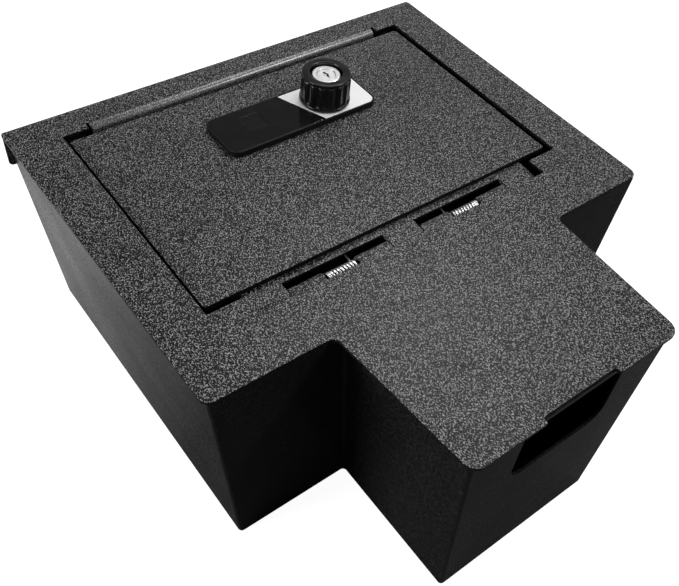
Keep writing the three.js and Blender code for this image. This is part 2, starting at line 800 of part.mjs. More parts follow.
// Key plug with its keyway and the round tail that reaches down through the spindle
function keyPlug() {
  const top = barrelTop - plugRecess;
  const bottom = barrelBottom + barrelFloor + runningGap;
  const tailEnd = releaseCamTop - releaseCamThickness - runningGap;
  const plug = barZ(plugRadius, [0, 0], [bottom, top]);
  const tail = barZ(tailRadius, [0, 0], [tailEnd, bottom + seamLap], smallSides);
  return cut(join(plug, tail), alongZ(keyway(), [top - keywayDepth, top + overcut]));
}

// Zigzag outline of the keyway: three straight runs, each offset by a jog
function keyway() {
  const half = keywayWidth / 2;
  const third = keywayReach / 3;
  return new THREE.Shape([
    [-half, -keywayReach], [half, -keywayReach], [half, -third], [half + keywayJog, -third],
    [half + keywayJog, third], [half, third], [half, keywayReach], [-half, keywayReach],
    [-half, third - half], [half - keywayJog / 2, third - half], [half - keywayJog / 2, half - third],
    [-half, half - third],
  ].map(([x, y]) => new THREE.Vector2(x, y)));
}

function knobSpindle() {
  const top = knobBottom + knobFloor;
  return turned([
    [tailRadius + runningGap, spindleBottom], [spindleRadius, spindleBottom], [spindleRadius, top],
    [tailRadius + runningGap, top],
  ], [0, 0], smallSides);
}

// Crank disc: drives the bolt by its pin, and is blocked by the plunger in one of two rim notches
function driveCrank() {
  const disc = barZ(crankRadius, [0, 0], [crankBottom, crankTop]);
  const pin = barZ(crankPinRadius, [crankPinReach, -crankPinReach], [crankBottom, boltTop - runningGap], smallSides);
  const through = [crankBottom - overcut, crankTop + overcut];
  const hub = barZ(spindleRadius + weldGap, [0, 0], through, smallSides);
  const half = plungerNoseRadius + runningGap;
  const deep = [crankRadius - lockNotchDepth, crankRadius + overcut];
  const notches = [
    block([-deep[1], -deep[0]], [-half, half], through),
    block([-half, half], deep, through),
  ];
  return cut(join(disc, pin), hub, ...notches);
}

// Retaining ring that holds the spindle up under the crank
function spindleClip() {
  const bore = spindleRadius + weldGap;
  const bottom = clipTop - clipThickness;
  return turned([[bore, bottom], [clipRadius, bottom], [clipRadius, clipTop], [bore, clipTop]], [0, 0], smallSides);
}

function releaseCam() {
  const span = [releaseCamTop - releaseCamThickness, releaseCamTop];
  const lobe = block([0, releaseLobeReach], centred(0, releaseLobeWidth), span);
  const bore = barZ(tailRadius + weldGap, [0, 0], [span[0] - overcut, span[1] + overcut], smallSides);
  return cut(join(barZ(releaseCamRadius, [0, 0], span, smallSides), lobe), bore);
}

// Sliding bolt: a flat bar with a window round the spindle and a cross slot for the crank pin
function latchBolt() {
  const through = [boltBottom - overcut, boltTop + overcut];
  const side = new THREE.Shape([
    [boltFront, boltBottom], [boltTip, boltBottom], [boltTip, boltTop - boltChamfer],
    [boltTip - boltChamfer, boltTop], [boltFront, boltTop],
  ].map(([y, z]) => new THREE.Vector2(y, z)));
  const bar = alongX(side, centred(knobX, boltWidth));
  const window = block(centred(knobX, 2 * spindleRoom),
    centred(boltSlotY, 2 * (crankPinReach + spindleRoom)), through);
  const slot = block([knobX, knobX + crankThrow + crankPinRadius + driveSlack],
    centred(boltSlotY, 2 * (crankPinRadius + driveSlack)), through);
  return cut(bar, window, slot);
}

// Guide for the bolt: a bridge welded under the lid
function boltGuide() {
  const front = knobY + crankRadius + guideGap;
  const outer = block(centred(knobX, boltWidth + 2 * (runningGap + guideWall)), [front, front + guideLength],
    [boltBottom - runningGap - guideWall, partsTop]);
  return cut(outer, block(centred(knobX, boltWidth + 2 * runningGap),
    [front - overcut, front + guideLength + overcut], [boltBottom - runningGap, boltTop + runningGap]));
}

function solenoidBody() {
  const body = block([solenoidFace - solenoidLength, solenoidFace], centred(knobY, solenoidWidth),
    [partsTop - solenoidHeight, partsTop]);
  return cut(body, barX(plungerRadius + runningGap, [knobY, plungerZ],
    [solenoidFace - solenoidLength + solenoidEndWall, solenoidFace + overcut], smallSides));
}

// Plunger with its return collar and the thin nose that enters the crank's notch
function solenoidPlunger() {
  const line = [knobY, plungerZ];
  return join(
    barX(plungerRadius, line, [solenoidFace - solenoidLength / 2, plungerNoseStart], smallSides),
    barX(collarRadius, line, centred(plungerNoseStart, collarThickness), smallSides),
    barX(plungerNoseRadius, line, [plungerNoseStart - collarThickness / 2, plungerNoseEnd], smallSides));
}

// Return spring between the solenoid's face and the plunger's collar
function plungerSpring() {
  const margin = runningGap + plungerSpringWire / 2;
  const run = [solenoidFace + margin, plungerNoseStart - collarThickness / 2 - margin];
  return wire(helixX(plungerSpringRadius, [knobY, plungerZ], run, plungerSpringTurns), plungerSpringWire / 2);
}

// Lock housing: four walls with a welding flange, four screw bosses and a slot for the bolt
function lockCase() {
  const reach = caseFlange;
  const x = [-caseHalf, caseHalf];
  const y = [caseFront, caseRear];
  const flange = block([x[0] - reach, x[1] + reach], [y[0] - reach, y[1] + reach], [caseTop - caseWall, caseTop]);
  const outer = block(x, y, [caseBottom, caseTop]);
  const inner = block([x[0] + caseWall, x[1] - caseWall], [y[0] + caseWall, y[1] - caseWall],
    [caseBottom - overcut, caseTop + overcut]);
  const bosses = coverScrewPlaces().map(([bossX, bossY]) => block(
    centred(bossX, coverBossSize), centred(bossY, coverBossSize), [caseBottom, caseBottom + coverBossHeight]));
  const bores = coverScrewPlaces().map((place) => barZ(
    screwShankRadius + weldGap, place,
    [caseBottom - overcut, caseBottom + coverBossHeight + overcut], smallSides));
  const boltSlot = block(centred(knobX, boltWidth + 2 * boltSlotGap),
    [y[1] - caseWall - overcut, y[1] + overcut], [boltBottom - boltSlotGap, boltTop + boltSlotGap]);
  return cut(join(cut(join(flange, outer), inner, boltSlot), ...bosses), ...bores);
}

function coverScrewPlaces() {
  const inset = caseWall + coverBossSize / 2 - bossOverlap;
  return [
    [-caseHalf + inset, caseFront + inset],
    [caseHalf - inset, caseFront + inset],
    [caseHalf - inset, caseRear - inset],
    [-caseHalf + inset, caseRear - inset],
  ];
}

function caseCover() {
  const span = [coverTop - coverThickness, coverTop];
  const holes = coverScrewPlaces().map((place) => barZ(
    screwShankRadius + runningGap, place, [span[0] - overcut, span[1] + overcut], smallSides));
  const outline = rectangle([-caseHalf, caseHalf], [caseFront, caseRear], coverCornerRadius);
  return cut(alongZ(outline, span), ...holes);
}

// Pan head screw driven upwards, its head's upper face at the given height
function screw([x, y], seat, length) {
  const bottom = seat - screwHeadHeight;
  const body = turned([
    [0, bottom], [screwCrownRadius, bottom], [screwHeadRadius, bottom + screwHeadHeight / 2],
    [screwHeadRadius, seat], [screwShankRadius, seat], [screwShankRadius, seat + length - screwShankRadius],
    [screwShankRadius / 2, seat + length], [0, seat + length],
  ], [x, y], smallSides);
  const cross = [bottom - overcut, bottom + crossDepth];
  return cut(body,
    block(centred(x, 2 * crossArm), centred(y, crossWidth), cross),
    block(centred(x, crossWidth), centred(y, 2 * crossArm), cross));
}

function batteryX(index) {
  return -caseHalf + caseWall + batteryInset + batteryRadius + index * batteryPitch;
}

function traySide(index, side) {
  return batteryX(index) + side * (batteryRadius + (channelWall + trayEndWall) / 2);
}

// Battery tray: a moulded block under the lid with four open channels
function batteryTray() {
  const outer = block([traySide(0, -1), traySide(batteryCount - 1, 1)], [trayFront, trayRear],
    [partsTop - trayDepth, partsTop]);
  const channels = Array.from({ length: batteryCount }, (_, index) => barY(
    batteryRadius + runningGap, [batteryX(index), batteryZ], [trayFront + trayEndWall, trayRear - trayEndWall]));
  return cut(outer, ...channels);
}

function battery(index) {
  const y0 = trayFront + trayEndWall + runningGap;
  const towardsFront = index % 2 === 0;
  const body = towardsFront ? [y0 + batteryNubLength, y0 + batteryNubLength + batteryLength]
    : [y0, y0 + batteryLength];
  const nub = towardsFront ? [y0, y0 + batteryNubLength + seamLap]
    : [body[1] - seamLap, body[1] + batteryNubLength];
  return join(barY(batteryRadius, [batteryX(index), batteryZ], body),
    barY(batteryNubRadius, [batteryX(index), batteryZ], nub, smallSides));
}

// Circuit board on four short standoffs, between the battery tray, the housing's walls and the bolt
function circuitBoard() {
  const x = [traySide(batteryCount - 1, 1) + boardGap, caseHalf - caseWall - boardSideGap];
  const y = [caseFront + caseWall + boardGap, boltFront - boardBoltGap];
  const under = partsTop - boardStandoff - boardThickness;
  const board = block(x, y, [under, under + boardThickness]);
  const footXs = [x[0] + boardFootInset, x[1] - boardFootInset];
  const footYs = [y[0] + boardFootInset, y[1] - boardFootInset];
  const feet = footXs.flatMap((footX) => footYs.map(
    (footY) => barZ(boardStandoffRadius, [footX, footY], [under, partsTop], smallSides)));
  return join(board, ...feet);
}

// Assembly: the lid's pieces and all that it carries are nested under the lid
const safe = new THREE.Group();
const lid = new THREE.Group();
const knob = new THREE.Group();
const key = new THREE.Group();
const bolt = new THREE.Group();
const plunger = new THREE.Group();
safe.add(lid);
lid.add(knob, bolt, plunger);
knob.add(key);
knob.position.set(knobX, knobY, 0);

safe.add(piece('face_plate', facePlate(), texturedBlack));
safe.add(...bodyWalls(), ...floorPieces(), ...lidStops());
safe.add(piece('body_leaf', bodyLeaf(), satinBlack));
safe.add(piece('hinge_pin', barX(pinRadius, [hingeY, hingeZ], [-hingeHalf, hingeHalf], smallSides), zincSteel));

lid.add(piece('lid_plate', lidPlate(), texturedBlack));
lid.add(piece('lid_leaf', lidLeaf(), texturedBlack));
knucklesOf('S').forEach((place, index) => {
  lid.add(piece(`hinge_spring_${index === 0 ? 'left' : 'right'}`, torsionSpring(place), brightSteel));
});
lid.add(piece('module_base', moduleBase(), mouldedBlack));
lid.add(piece('sensor_panel', sensorPanel(), glossBlack));
lid.add(piece('sensor_window', sensorWindow(), sensorGlass));
lid.add(piece('trim_plate', trimPlate(), polishedWhite));
moduleScrewPlaces().forEach((place, index) => {
  const length = moduleBottom + moduleScrewReach - runningGap - partsTop;
  const name = `module_screw_${index === 0 ? 'left' : 'right'}`;
  lid.add(piece(name, screw(place, partsTop, length), zincSteel));
});
lid.add(piece('lock_case', lockCase(), zincSteel));
lid.add(piece('case_cover', caseCover(), satinBlack));
coverScrewPlaces().forEach((place, index) => {
  const seat = coverTop - coverThickness - weldGap;
  lid.add(piece(`cover_screw_${index + 1}`, screw(place, seat, screwLength), zincSteel));
});
lid.add(piece('bolt_guide', boltGuide(), zincSteel));
lid.add(piece('solenoid_body', solenoidBody(), coilBrown));
lid.add(piece('battery_tray', batteryTray(), mouldedBlack));
for (let index = 0; index < batteryCount; index += 1) {
  lid.add(piece(`battery_${index + 1}`, battery(index), batteryJacket));
}
lid.add(piece('circuit_board', circuitBoard(), boardGreen));

bolt.add(piece('latch_bolt', latchBolt(), brightSteel));
plunger.add(piece('solenoid_plunger', solenoidPlunger(), brightSteel));
plunger.add(piece('solenoid_spring', plungerSpring(), brightSteel));

knob.add(piece('knob_grip', knobGrip(), mouldedBlack));
knob.add(piece('lock_barrel', lockBarrel(), brightSteel));
knob.add(piece('knob_spindle', knobSpindle(), zincSteel));
knob.add(piece('drive_crank', driveCrank(), zincSteel));
knob.add(piece('spindle_clip', spindleClip(), zincSteel));
key.add(piece('key_plug', keyPlug(), brightSteel));
key.add(piece('release_cam', releaseCam(), zincSteel));

export default safe;
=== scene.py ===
import json
import math

import bmesh
import bpy
import numpy as np
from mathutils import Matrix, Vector

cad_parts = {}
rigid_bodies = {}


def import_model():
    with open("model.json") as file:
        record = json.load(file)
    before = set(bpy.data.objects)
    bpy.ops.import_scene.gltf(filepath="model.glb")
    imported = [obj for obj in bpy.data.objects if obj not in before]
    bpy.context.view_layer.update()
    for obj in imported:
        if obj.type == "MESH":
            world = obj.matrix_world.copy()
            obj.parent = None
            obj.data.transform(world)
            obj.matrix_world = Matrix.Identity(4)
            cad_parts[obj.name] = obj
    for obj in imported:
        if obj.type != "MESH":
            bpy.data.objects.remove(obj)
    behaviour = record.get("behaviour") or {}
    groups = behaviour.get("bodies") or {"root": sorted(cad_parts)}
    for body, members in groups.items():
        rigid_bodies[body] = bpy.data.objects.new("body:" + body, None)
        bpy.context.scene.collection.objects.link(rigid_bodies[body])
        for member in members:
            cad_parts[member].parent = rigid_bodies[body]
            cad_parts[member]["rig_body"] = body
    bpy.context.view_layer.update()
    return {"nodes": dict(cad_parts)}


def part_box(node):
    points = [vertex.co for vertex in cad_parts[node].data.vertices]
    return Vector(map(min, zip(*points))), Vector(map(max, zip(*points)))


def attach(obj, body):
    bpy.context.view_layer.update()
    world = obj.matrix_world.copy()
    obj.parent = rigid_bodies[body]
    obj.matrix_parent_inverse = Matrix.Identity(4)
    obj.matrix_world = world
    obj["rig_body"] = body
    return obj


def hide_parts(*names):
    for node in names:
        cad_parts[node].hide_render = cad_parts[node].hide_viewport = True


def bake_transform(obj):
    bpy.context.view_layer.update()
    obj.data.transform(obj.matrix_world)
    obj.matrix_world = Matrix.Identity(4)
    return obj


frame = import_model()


# Camera
# It looks down past the left of the tongue, with the frame moved sideways a little as a lens shift does.
# Places are in metres, in the frame of the solids, and turns are in degrees.
camera_data = bpy.data.cameras.new("camera")
camera_data.sensor_width = 36
camera_data.lens = 45.598
camera_data.shift_x = -0.0521
camera_data.shift_y = 0.0048
camera = bpy.data.objects.new("camera", camera_data)
camera.location = (-0.24878, -0.25894, 0.46760)
camera.rotation_euler = [math.radians(turn) for turn in (41.24738, -5.94997, -38.05874)]
bpy.context.scene.collection.objects.link(camera)
bpy.context.scene.camera = camera
bpy.context.scene.view_settings.view_transform = "Standard"


# Light
# The main soft lamp stands high at the back right, so that its sheen lies on the front of the tongue. A low
# one at the left rakes over the coat, and a small one at the front right draws the highlight along the strike
# lip. A dim even room fills the rest.
def soft_lamp(name, place, aim, width, depth, watts):
    """Rectangular lamp at a place, facing the point that it is aimed at."""
    lamp = bpy.data.lights.new(name, "AREA")
    lamp.shape = "RECTANGLE"
    lamp.size = width
    lamp.size_y = depth
    lamp.energy = watts
    holder = bpy.data.objects.new(name, lamp)
    holder.location = place
    holder.rotation_euler = (Vector(aim) - Vector(place)).to_track_quat("-Z", "Y").to_euler()
    bpy.context.scene.collection.objects.link(holder)


soft_lamp("main_lamp", (0.58, 0.45, 1.23), aim=(0, 0.05, 0.14), width=0.7, depth=0.5, watts=6.5)
soft_lamp("left_lamp", (-1.12, 0.30, 0.51), aim=(-0.05, 0.05, 0.14), width=0.5, depth=0.35, watts=13)
soft_lamp("lip_lamp", (0.60, -0.42, 0.98), aim=(0, 0.10, 0.14), width=0.22, depth=0.22, watts=7)


def ray_kind(tree, *kinds):
    """Factor that is 1 for the named kinds of ray, and 0 for the others."""
    rays = tree.nodes.new("ShaderNodeLightPath")
    factor = rays.outputs[kinds[0]]
    for kind in kinds[1:]:
        larger = tree.nodes.new("ShaderNodeMath")
        larger.operation = "MAXIMUM"
        tree.links.new(factor, larger.inputs[0])
        tree.links.new(rays.outputs[kind], larger.inputs[1])
        factor = larger.outputs[0]
    return factor


def ranged(tree, value, start, end, low, high):
    """Value carried from start..end to low..high, held at both ends, each a number or a socket."""
    step = tree.nodes.new("ShaderNodeMapRange")
    for label, term in (("From Min", start), ("From Max", end), ("To Min", low), ("To Max", high)):
        if isinstance(term, (int, float)):
            step.inputs[label].default_value = term
        else:
            tree.links.new(term, step.inputs[label])
    tree.links.new(value, step.inputs["Value"])
    return step.outputs["Result"]


# Reflections find the room white up to the horizon's height, and dimmer from there to the ceiling's. Both
# heights are the upward part of a direction one unit long.
room_fill = 0.15
ceiling_level = 0.12
horizon_height, ceiling_height = 0.30, 0.60
world = bpy.data.worlds.new("room")
world.use_nodes = True
bpy.context.scene.world = world
room = world.node_tree
direction = room.nodes.new("ShaderNodeTexCoord")
parts = room.nodes.new("ShaderNodeSeparateXYZ")
room.links.new(direction.outputs["Generated"], parts.inputs["Vector"])
walls_and_ceiling = ranged(room, parts.outputs["Z"], horizon_height, ceiling_height, 1.0, ceiling_level)
backdrop = ranged(room, ray_kind(room, "Is Camera Ray"), 0, 1, walls_and_ceiling, 1.0)
seen = ray_kind(room, "Is Camera Ray", "Is Glossy Ray", "Is Transmission Ray")
room.links.new(ranged(room, seen, 0, 1, room_fill, backdrop), room.nodes["Background"].inputs["Strength"])
room.nodes["Background"].inputs["Color"].default_value = (1, 1, 1, 1)


# Floor
# Pale sweep under the safe, lit up to white where the camera or a reflection sees it. Reflections find a
# painted shadow on it, dim in front of the safe and bright behind it.
mm = 0.001
floor_half = 3.0
floor_drop = 0.2 * mm
floor_glow = 0.95
floor_grey = 0.3
painted_shadow_end_y, bright_from_y = 0, 190 * mm
reflected_glow = 1.05
floor_mesh = bpy.data.meshes.new("floor")
floor_corners = [(x * floor_half, y * floor_half, -floor_drop)
                 for x, y in ((-1, -1), (1, -1), (1, 1), (-1, 1))]
floor_mesh.from_pydata(floor_corners, [], [(0, 1, 2, 3)])
floor = bpy.data.objects.new("floor", floor_mesh)
bpy.context.scene.collection.objects.link(floor)
floor_paint = bpy.data.materials.new("white_sweep")
floor_paint.use_nodes = True
sweep = floor_paint.node_tree
sweep.nodes.remove(sweep.nodes["Principled BSDF"])
matt = sweep.nodes.new("ShaderNodeBsdfDiffuse")
matt.inputs["Color"].default_value = (floor_grey, floor_grey, floor_grey, 1)
glow = sweep.nodes.new("ShaderNodeEmission")
both = sweep.nodes.new("ShaderNodeAddShader")
place = sweep.nodes.new("ShaderNodeTexCoord")
along = sweep.nodes.new("ShaderNodeSeparateXYZ")
sweep.links.new(place.outputs["Object"], along.inputs["Vector"])
# Painted shadow: the glow that reflections see rises from none in front of the safe to full behind it.
painted_shadow_glow = ranged(sweep, along.outputs["Y"], painted_shadow_end_y, bright_from_y, 0.0, reflected_glow)
shown = ranged(sweep, ray_kind(sweep, "Is Camera Ray"), 0, 1, painted_shadow_glow, floor_glow)
seen = ray_kind(sweep, "Is Camera Ray", "Is Glossy Ray", "Is Transmission Ray")
sweep.links.new(ranged(sweep, seen, 0, 1, 0.0, shown), glow.inputs["Strength"])
sweep.links.new(matt.outputs[0], both.inputs[0])
sweep.links.new(glow.outputs[0], both.inputs[1])
sweep.links.new(both.outputs[0], sweep.nodes["Material Output"].inputs["Surface"])
floor_mesh.materials.append(floor_paint)


# Body walls
# Sheet steel 1.8 mm thick, folded into one T-shaped shell with leaning sides, and coated in satin black.
# The hand hole is cut through the tongue's front before folding.
def effect_group(name, inputs, outputs):
    """Empty shader group with float inputs given as name: value, and float outputs."""
    group = bpy.data.node_groups.new(name, "ShaderNodeTree")
    for label, value in inputs.items():
        socket = group.interface.new_socket(label, in_out="INPUT", socket_type="NodeSocketFloat")
        socket.default_value = value
    for label in outputs:
        group.interface.new_socket(label, in_out="OUTPUT", socket_type="NodeSocketFloat")
    entry = group.nodes.new("NodeGroupInput")
    leaving = group.nodes.new("NodeGroupOutput")
    return group, entry, leaving


noise_turn = (0.6, 0.5, 0.3)


def noise(tree, scale, detail, draw=1.0):
    """Noise read in object coordinates, its scale a socket. A draw above 1 makes its marks that much longer
    from front to back. The noise is turned, so that its own grid shows on no flat face."""
    place = tree.nodes.new("ShaderNodeTexCoord")
    stretch = tree.nodes.new("ShaderNodeMapping")
    stretch.inputs["Scale"].default_value = (1, 1 / draw, 1)
    stretch.inputs["Rotation"].default_value = noise_turn
    texture = tree.nodes.new("ShaderNodeTexNoise")
    texture.inputs["Detail"].default_value = detail
    tree.links.new(scale, texture.inputs["Scale"])
    tree.links.new(place.outputs["Object"], stretch.inputs["Vector"])
    tree.links.new(stretch.outputs["Vector"], texture.inputs["Vector"])
    return texture.outputs["Fac"]


def arithmetic(tree, operation, first, second):
    """Result of a Math node, each term a number or a socket."""
    step = tree.nodes.new("ShaderNodeMath")
    step.operation = operation
    for index, term in enumerate((first, second)):
        if isinstance(term, (int, float)):
            step.inputs[index].default_value = term
        else:
            tree.links.new(term, step.inputs[index])
    return step.outputs[0]


# Grain of a powder coat: crests drawn out from front to back, with dark hollows between them. More Cover
# gives more crests, more Contrast gives them steeper sides, and Shade is stronger in some patches. A coat
# whose colours span widely with Shade paints sparkle on the crests and shade in the hollows.
grain_draw = 2.2
crest_half = 0.5
patch_fineness = 0.2
patch_span = (0.3, 0.7)
patch_shade = (0.8, 1.2)
grain_group, entry, leaving = effect_group(
    "coat_grain", {"Fineness": 1500.0, "Contrast": 6.0, "Cover": 0.4}, ("Height", "Shade"))
crests = noise(grain_group, entry.outputs["Fineness"], detail=0.0, draw=grain_draw)
below_top = arithmetic(grain_group, "SUBTRACT", crests, 1.0)
above = arithmetic(grain_group, "ADD", below_top, entry.outputs["Cover"])
steep = arithmetic(grain_group, "MULTIPLY", above, entry.outputs["Contrast"])
height = ranged(grain_group, steep, -crest_half, crest_half, 0.0, 1.0)
patch_scale = arithmetic(grain_group, "MULTIPLY", entry.outputs["Fineness"], patch_fineness)
patches = noise(grain_group, patch_scale, detail=2.0)
share = ranged(grain_group, patches, *patch_span, *patch_shade)
grain_group.links.new(height, leaving.inputs["Height"])
grain_group.links.new(arithmetic(grain_group, "MULTIPLY", height, share), leaving.inputs["Shade"])

# Slow change of gloss over a surface, from handling and dust: a soft noise carried between two values.
noise_span = (0.25, 0.75)
handling_group, entry, leaving = effect_group(
    "handling_marks", {"Size": 24.0, "Low": 0.4, "High": 0.6}, ("Value",))
cloud = noise(handling_group, entry.outputs["Size"], detail=4.0)
cloud_value = ranged(handling_group, cloud, *noise_span, entry.outputs["Low"], entry.outputs["High"])
handling_group.links.new(cloud_value, leaving.inputs["Value"])


def finish(name, colour, roughness, metallic=0.0, specular=0.5):
    """Principled material with even values. Gives the material, its tree and its shader."""
    paint = bpy.data.materials.new(name)
    paint.use_nodes = True
    shader = paint.node_tree.nodes["Principled BSDF"]
    shader.inputs["Base Color"].default_value = (*colour, 1)
    shader.inputs["Roughness"].default_value = roughness
    shader.inputs["Metallic"].default_value = metallic
    shader.inputs["Specular IOR Level"].default_value = specular
    return paint, paint.node_tree, shader


def placed(tree, group, **values):
    """Outputs of an effect group set with its own values."""
    node = tree.nodes.new("ShaderNodeGroup")
    node.node_tree = group
    for label, number in values.items():
        node.inputs[label].default_value = number
    return node.outputs


def blended(tree, factor, low, high):
    """Colour that goes from low to high as the factor goes from 0 to 1."""
    mix = tree.nodes.new("ShaderNodeMix")
    mix.data_type = "RGBA"
    mix.inputs["A"].default_value = (*low, 1)
    mix.inputs["B"].default_value = (*high, 1)
    tree.links.new(factor, mix.inputs["Factor"])
    return mix.outputs["Result"]


def bumped(tree, shader, height, depth):
    """Bump of the given depth in metres on the shader's normal."""
    bump = tree.nodes.new("ShaderNodeBump")
    bump.inputs["Strength"].default_value = 1
    bump.inputs["Distance"].default_value = depth
    tree.links.new(height, bump.inputs["Height"])
    tree.links.new(bump.outputs["Normal"], shader.inputs["Normal"])


def coat(name, grain, depth, low, high, gloss, hollow, specular):
    """Powder coat: grain in colour and bump, handling marks in its gloss, and hollows rougher than crests. A
    wide span from low to high colour also paints sparkle on the crests and shade in the hollows.
    """
    paint, tree, shader = finish(name, low, gloss[0], specular=specular)
    skin = placed(tree, grain_group, **grain)
    tree.links.new(blended(tree, skin["Shade"], low, high), shader.inputs["Base Color"])
    marks = placed(tree, handling_group, Low=gloss[0], High=gloss[1])
    duller = ranged(tree, skin["Height"], 0, 1, hollow, 0.0)
    tree.links.new(arithmetic(tree, "ADD", marks["Value"], duller), shader.inputs["Roughness"])
    bumped(tree, shader, skin["Height"], depth)
    return paint


satin_coat = coat(
    "satin_coat", {"Fineness": 1500.0, "Contrast": 6.0, "Cover": 0.42}, depth=0.02 * mm,
    low=(0.005, 0.005, 0.0052), high=(0.018, 0.018, 0.0182), gloss=(0.24, 0.30), hollow=0.08, specular=0.017)


def rounded_outline(corners, steps):
    """Closed outline through corners (x, y, radius), each turned into an arc of steps + 1 points.
    The arc's middle lies on the corner's bisector, and its ends on the two sides."""
    places = np.array([corner[:2] for corner in corners], float)
    radii = np.array([corner[2] for corner in corners], float)
    before = np.roll(places, 1, 0) - places
    after = np.roll(places, -1, 0) - places
    before /= np.linalg.norm(before, axis=1, keepdims=True)
    after /= np.linalg.norm(after, axis=1, keepdims=True)
    half = np.arccos((before * after).sum(1)) / 2
    bisector = before + after
    bisector /= np.linalg.norm(bisector, axis=1, keepdims=True)
    middles = places + bisector * (radii / np.sin(half))[:, None]
    feet = places + before * (radii / np.tan(half))[:, None] - middles
    ends = places + after * (radii / np.tan(half))[:, None] - middles
    start = np.arctan2(feet[:, 1], feet[:, 0])
    turn = (np.arctan2(ends[:, 1], ends[:, 0]) - start + np.pi) % (2 * np.pi) - np.pi
    angles = start[:, None] + turn[:, None] * np.linspace(0, 1, steps + 1)
    arcs = np.stack([np.cos(angles), np.sin(angles)], -1) * radii[:, None, None] + middles[:, None]
    return arcs.reshape(-1, 2)


def surface(name, rows, wrap=False, caps=False):
    """Mesh through rows of points, rows[i, j], each row closed on itself. Neighbouring rows are
    joined by four-sided faces. wrap joins the last row to the first, caps closes both with flat faces."""
    count, width = rows.shape[:2]
    first = np.arange(count if wrap else count - 1)[:, None]
    column = np.arange(width)[None, :]
    this_row, next_row = first * width, (first + 1) % count * width
    beside = (column + 1) % width
    faces = np.stack([this_row + column, this_row + beside, next_row + beside, next_row + column], -1)
    faces = faces.reshape(-1, 4).tolist()
    if caps:
        faces.append(np.arange(width)[::-1].tolist())
        faces.append((np.arange(width) + (count - 1) * width).tolist())
    mesh = bpy.data.meshes.new(name)
    mesh.from_pydata(rows.reshape(-1, 3).tolist(), [], faces)
    mesh.update()
    return mesh


weld_reach = 0.001 * mm


def outward(mesh):
    """Joins doubled points and turns every face outwards."""
    work = bmesh.new()
    work.from_mesh(mesh)
    bmesh.ops.remove_doubles(work, verts=work.verts, dist=weld_reach)
    bmesh.ops.recalc_face_normals(work, faces=work.faces)
    work.to_mesh(mesh)
    work.free()


sharp_angle = 35


def smoothed(mesh, angle=sharp_angle):
    """Smooth shading that keeps edges sharper than an angle in degrees."""
    mesh.shade_smooth()
    mesh.set_sharp_from_angle(angle=math.radians(angle))


def rounded_edges(piece, width, segments=2):
    """Rounds over every sharp edge by a width."""
    bevel = piece.modifiers.new("rounded_edges", "BEVEL")
    bevel.width = width
    bevel.segments = segments
    bevel.limit_method = "ANGLE"
    bevel.angle_limit = math.radians(sharp_angle)
    bevel.use_clamp_overlap = False
    bevel.harden_normals = True


def new_piece(name, mesh, paint, body, replaced=()):
    """Object of a mesh, with its paint, the body that it rides on and the nodes it stands for."""
    piece = bpy.data.objects.new(name, mesh)
    bpy.context.scene.collection.objects.link(piece)
    mesh.materials.append(paint)
    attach(piece, body)
    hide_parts(*replaced)
    return piece


wall_nodes = ("tongue_front_wall", "tongue_left_wall", "tongue_right_wall", "left_front_wall",
              "right_front_wall", "left_wall", "right_wall", "rear_wall")
wall_thickness = 1.8 * mm
bend_radius = 2.5 * mm
least_bend = 0.7 * mm
bend_steps = 12
side_lean = 14.8 * mm
tongue_lean = 12.5 * mm
rear_lean = 3.1 * mm
step_corner_reach = 8.9 * mm
side_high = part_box("right_wall")[1]
wall_top, side_half = side_high.z, side_high.x
front_low, front_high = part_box("tongue_front_wall")
tip_y, tongue_half = front_low.y, front_high.x
step_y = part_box("right_front_wall")[0].y + step_corner_reach
rear_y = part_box("rear_wall")[1].y


def body_outline(height, inset):
    """Outline of the body at a height, drawn in from its outside. Each wall leans: it stands further
    out by its lean times the height's share of the wall's height."""
    short = 1 - height / wall_top
    side = side_half - side_lean * short - inset
    tongue = tongue_half - tongue_lean * short - inset
    rear = rear_y - rear_lean * (1 - short) - inset
    tip = tip_y + inset
    step = step_y + inset
    outer = max(bend_radius - inset, least_bend)
    inner = bend_radius + inset
    flat = rounded_outline([
        (-tongue, tip, outer), (tongue, tip, outer), (tongue, step, inner), (side, step, outer),
        (side, rear, outer), (-side, rear, outer), (-side, step, outer), (-tongue, step, inner),
    ], bend_steps)
    return np.column_stack([flat, np.full(len(flat), height)])


hand_hole_half = 34.5 * mm
hand_hole_sill = 93 * mm
hand_hole_top = 136.8 * mm
hand_hole_low_radius = 12 * mm
hand_hole_high_radius = 2 * mm
cutter_reach = 4 * mm

body_mesh = surface("body_shell", np.stack([
    body_outline(0, 0), body_outline(wall_top, 0),
    body_outline(wall_top, wall_thickness), body_outline(0, wall_thickness),
]), wrap=True)
outward(body_mesh)
hole_flat = rounded_outline([
    (-hand_hole_half, hand_hole_sill, hand_hole_low_radius),
    (hand_hole_half, hand_hole_sill, hand_hole_low_radius),
    (hand_hole_half, hand_hole_top, hand_hole_high_radius),
    (-hand_hole_half, hand_hole_top, hand_hole_high_radius),
], bend_steps)
hole_rows = np.stack([
    np.column_stack([hole_flat[:, 0], np.full(len(hole_flat), y), hole_flat[:, 1]])
    for y in (tip_y - cutter_reach, tip_y + cutter_reach)])
hole_mesh = surface("hand_hole_cutter", hole_rows, caps=True)
outward(hole_mesh)


def cut_out(mesh, cutter_mesh):
    """The mesh less the space of a cutter."""
    name = mesh.name
    body = bpy.data.objects.new("being_cut", mesh)
    cutter = bpy.data.objects.new("cutter", cutter_mesh)
    bpy.context.scene.collection.objects.link(body)
    bpy.context.scene.collection.objects.link(cutter)
    step = body.modifiers.new("cut", "BOOLEAN")
    step.operation = "DIFFERENCE"
    step.solver = "EXACT"
    step.object = cutter
    graph = bpy.context.evaluated_depsgraph_get()
    result = bpy.data.meshes.new_from_object(body.evaluated_get(graph))
    bpy.data.objects.remove(body)
    bpy.data.objects.remove(cutter)
    bpy.data.meshes.remove(mesh)
    bpy.data.meshes.remove(cutter_mesh)
    result.name = name
    result.materials.clear()
    outward(result)
    return result


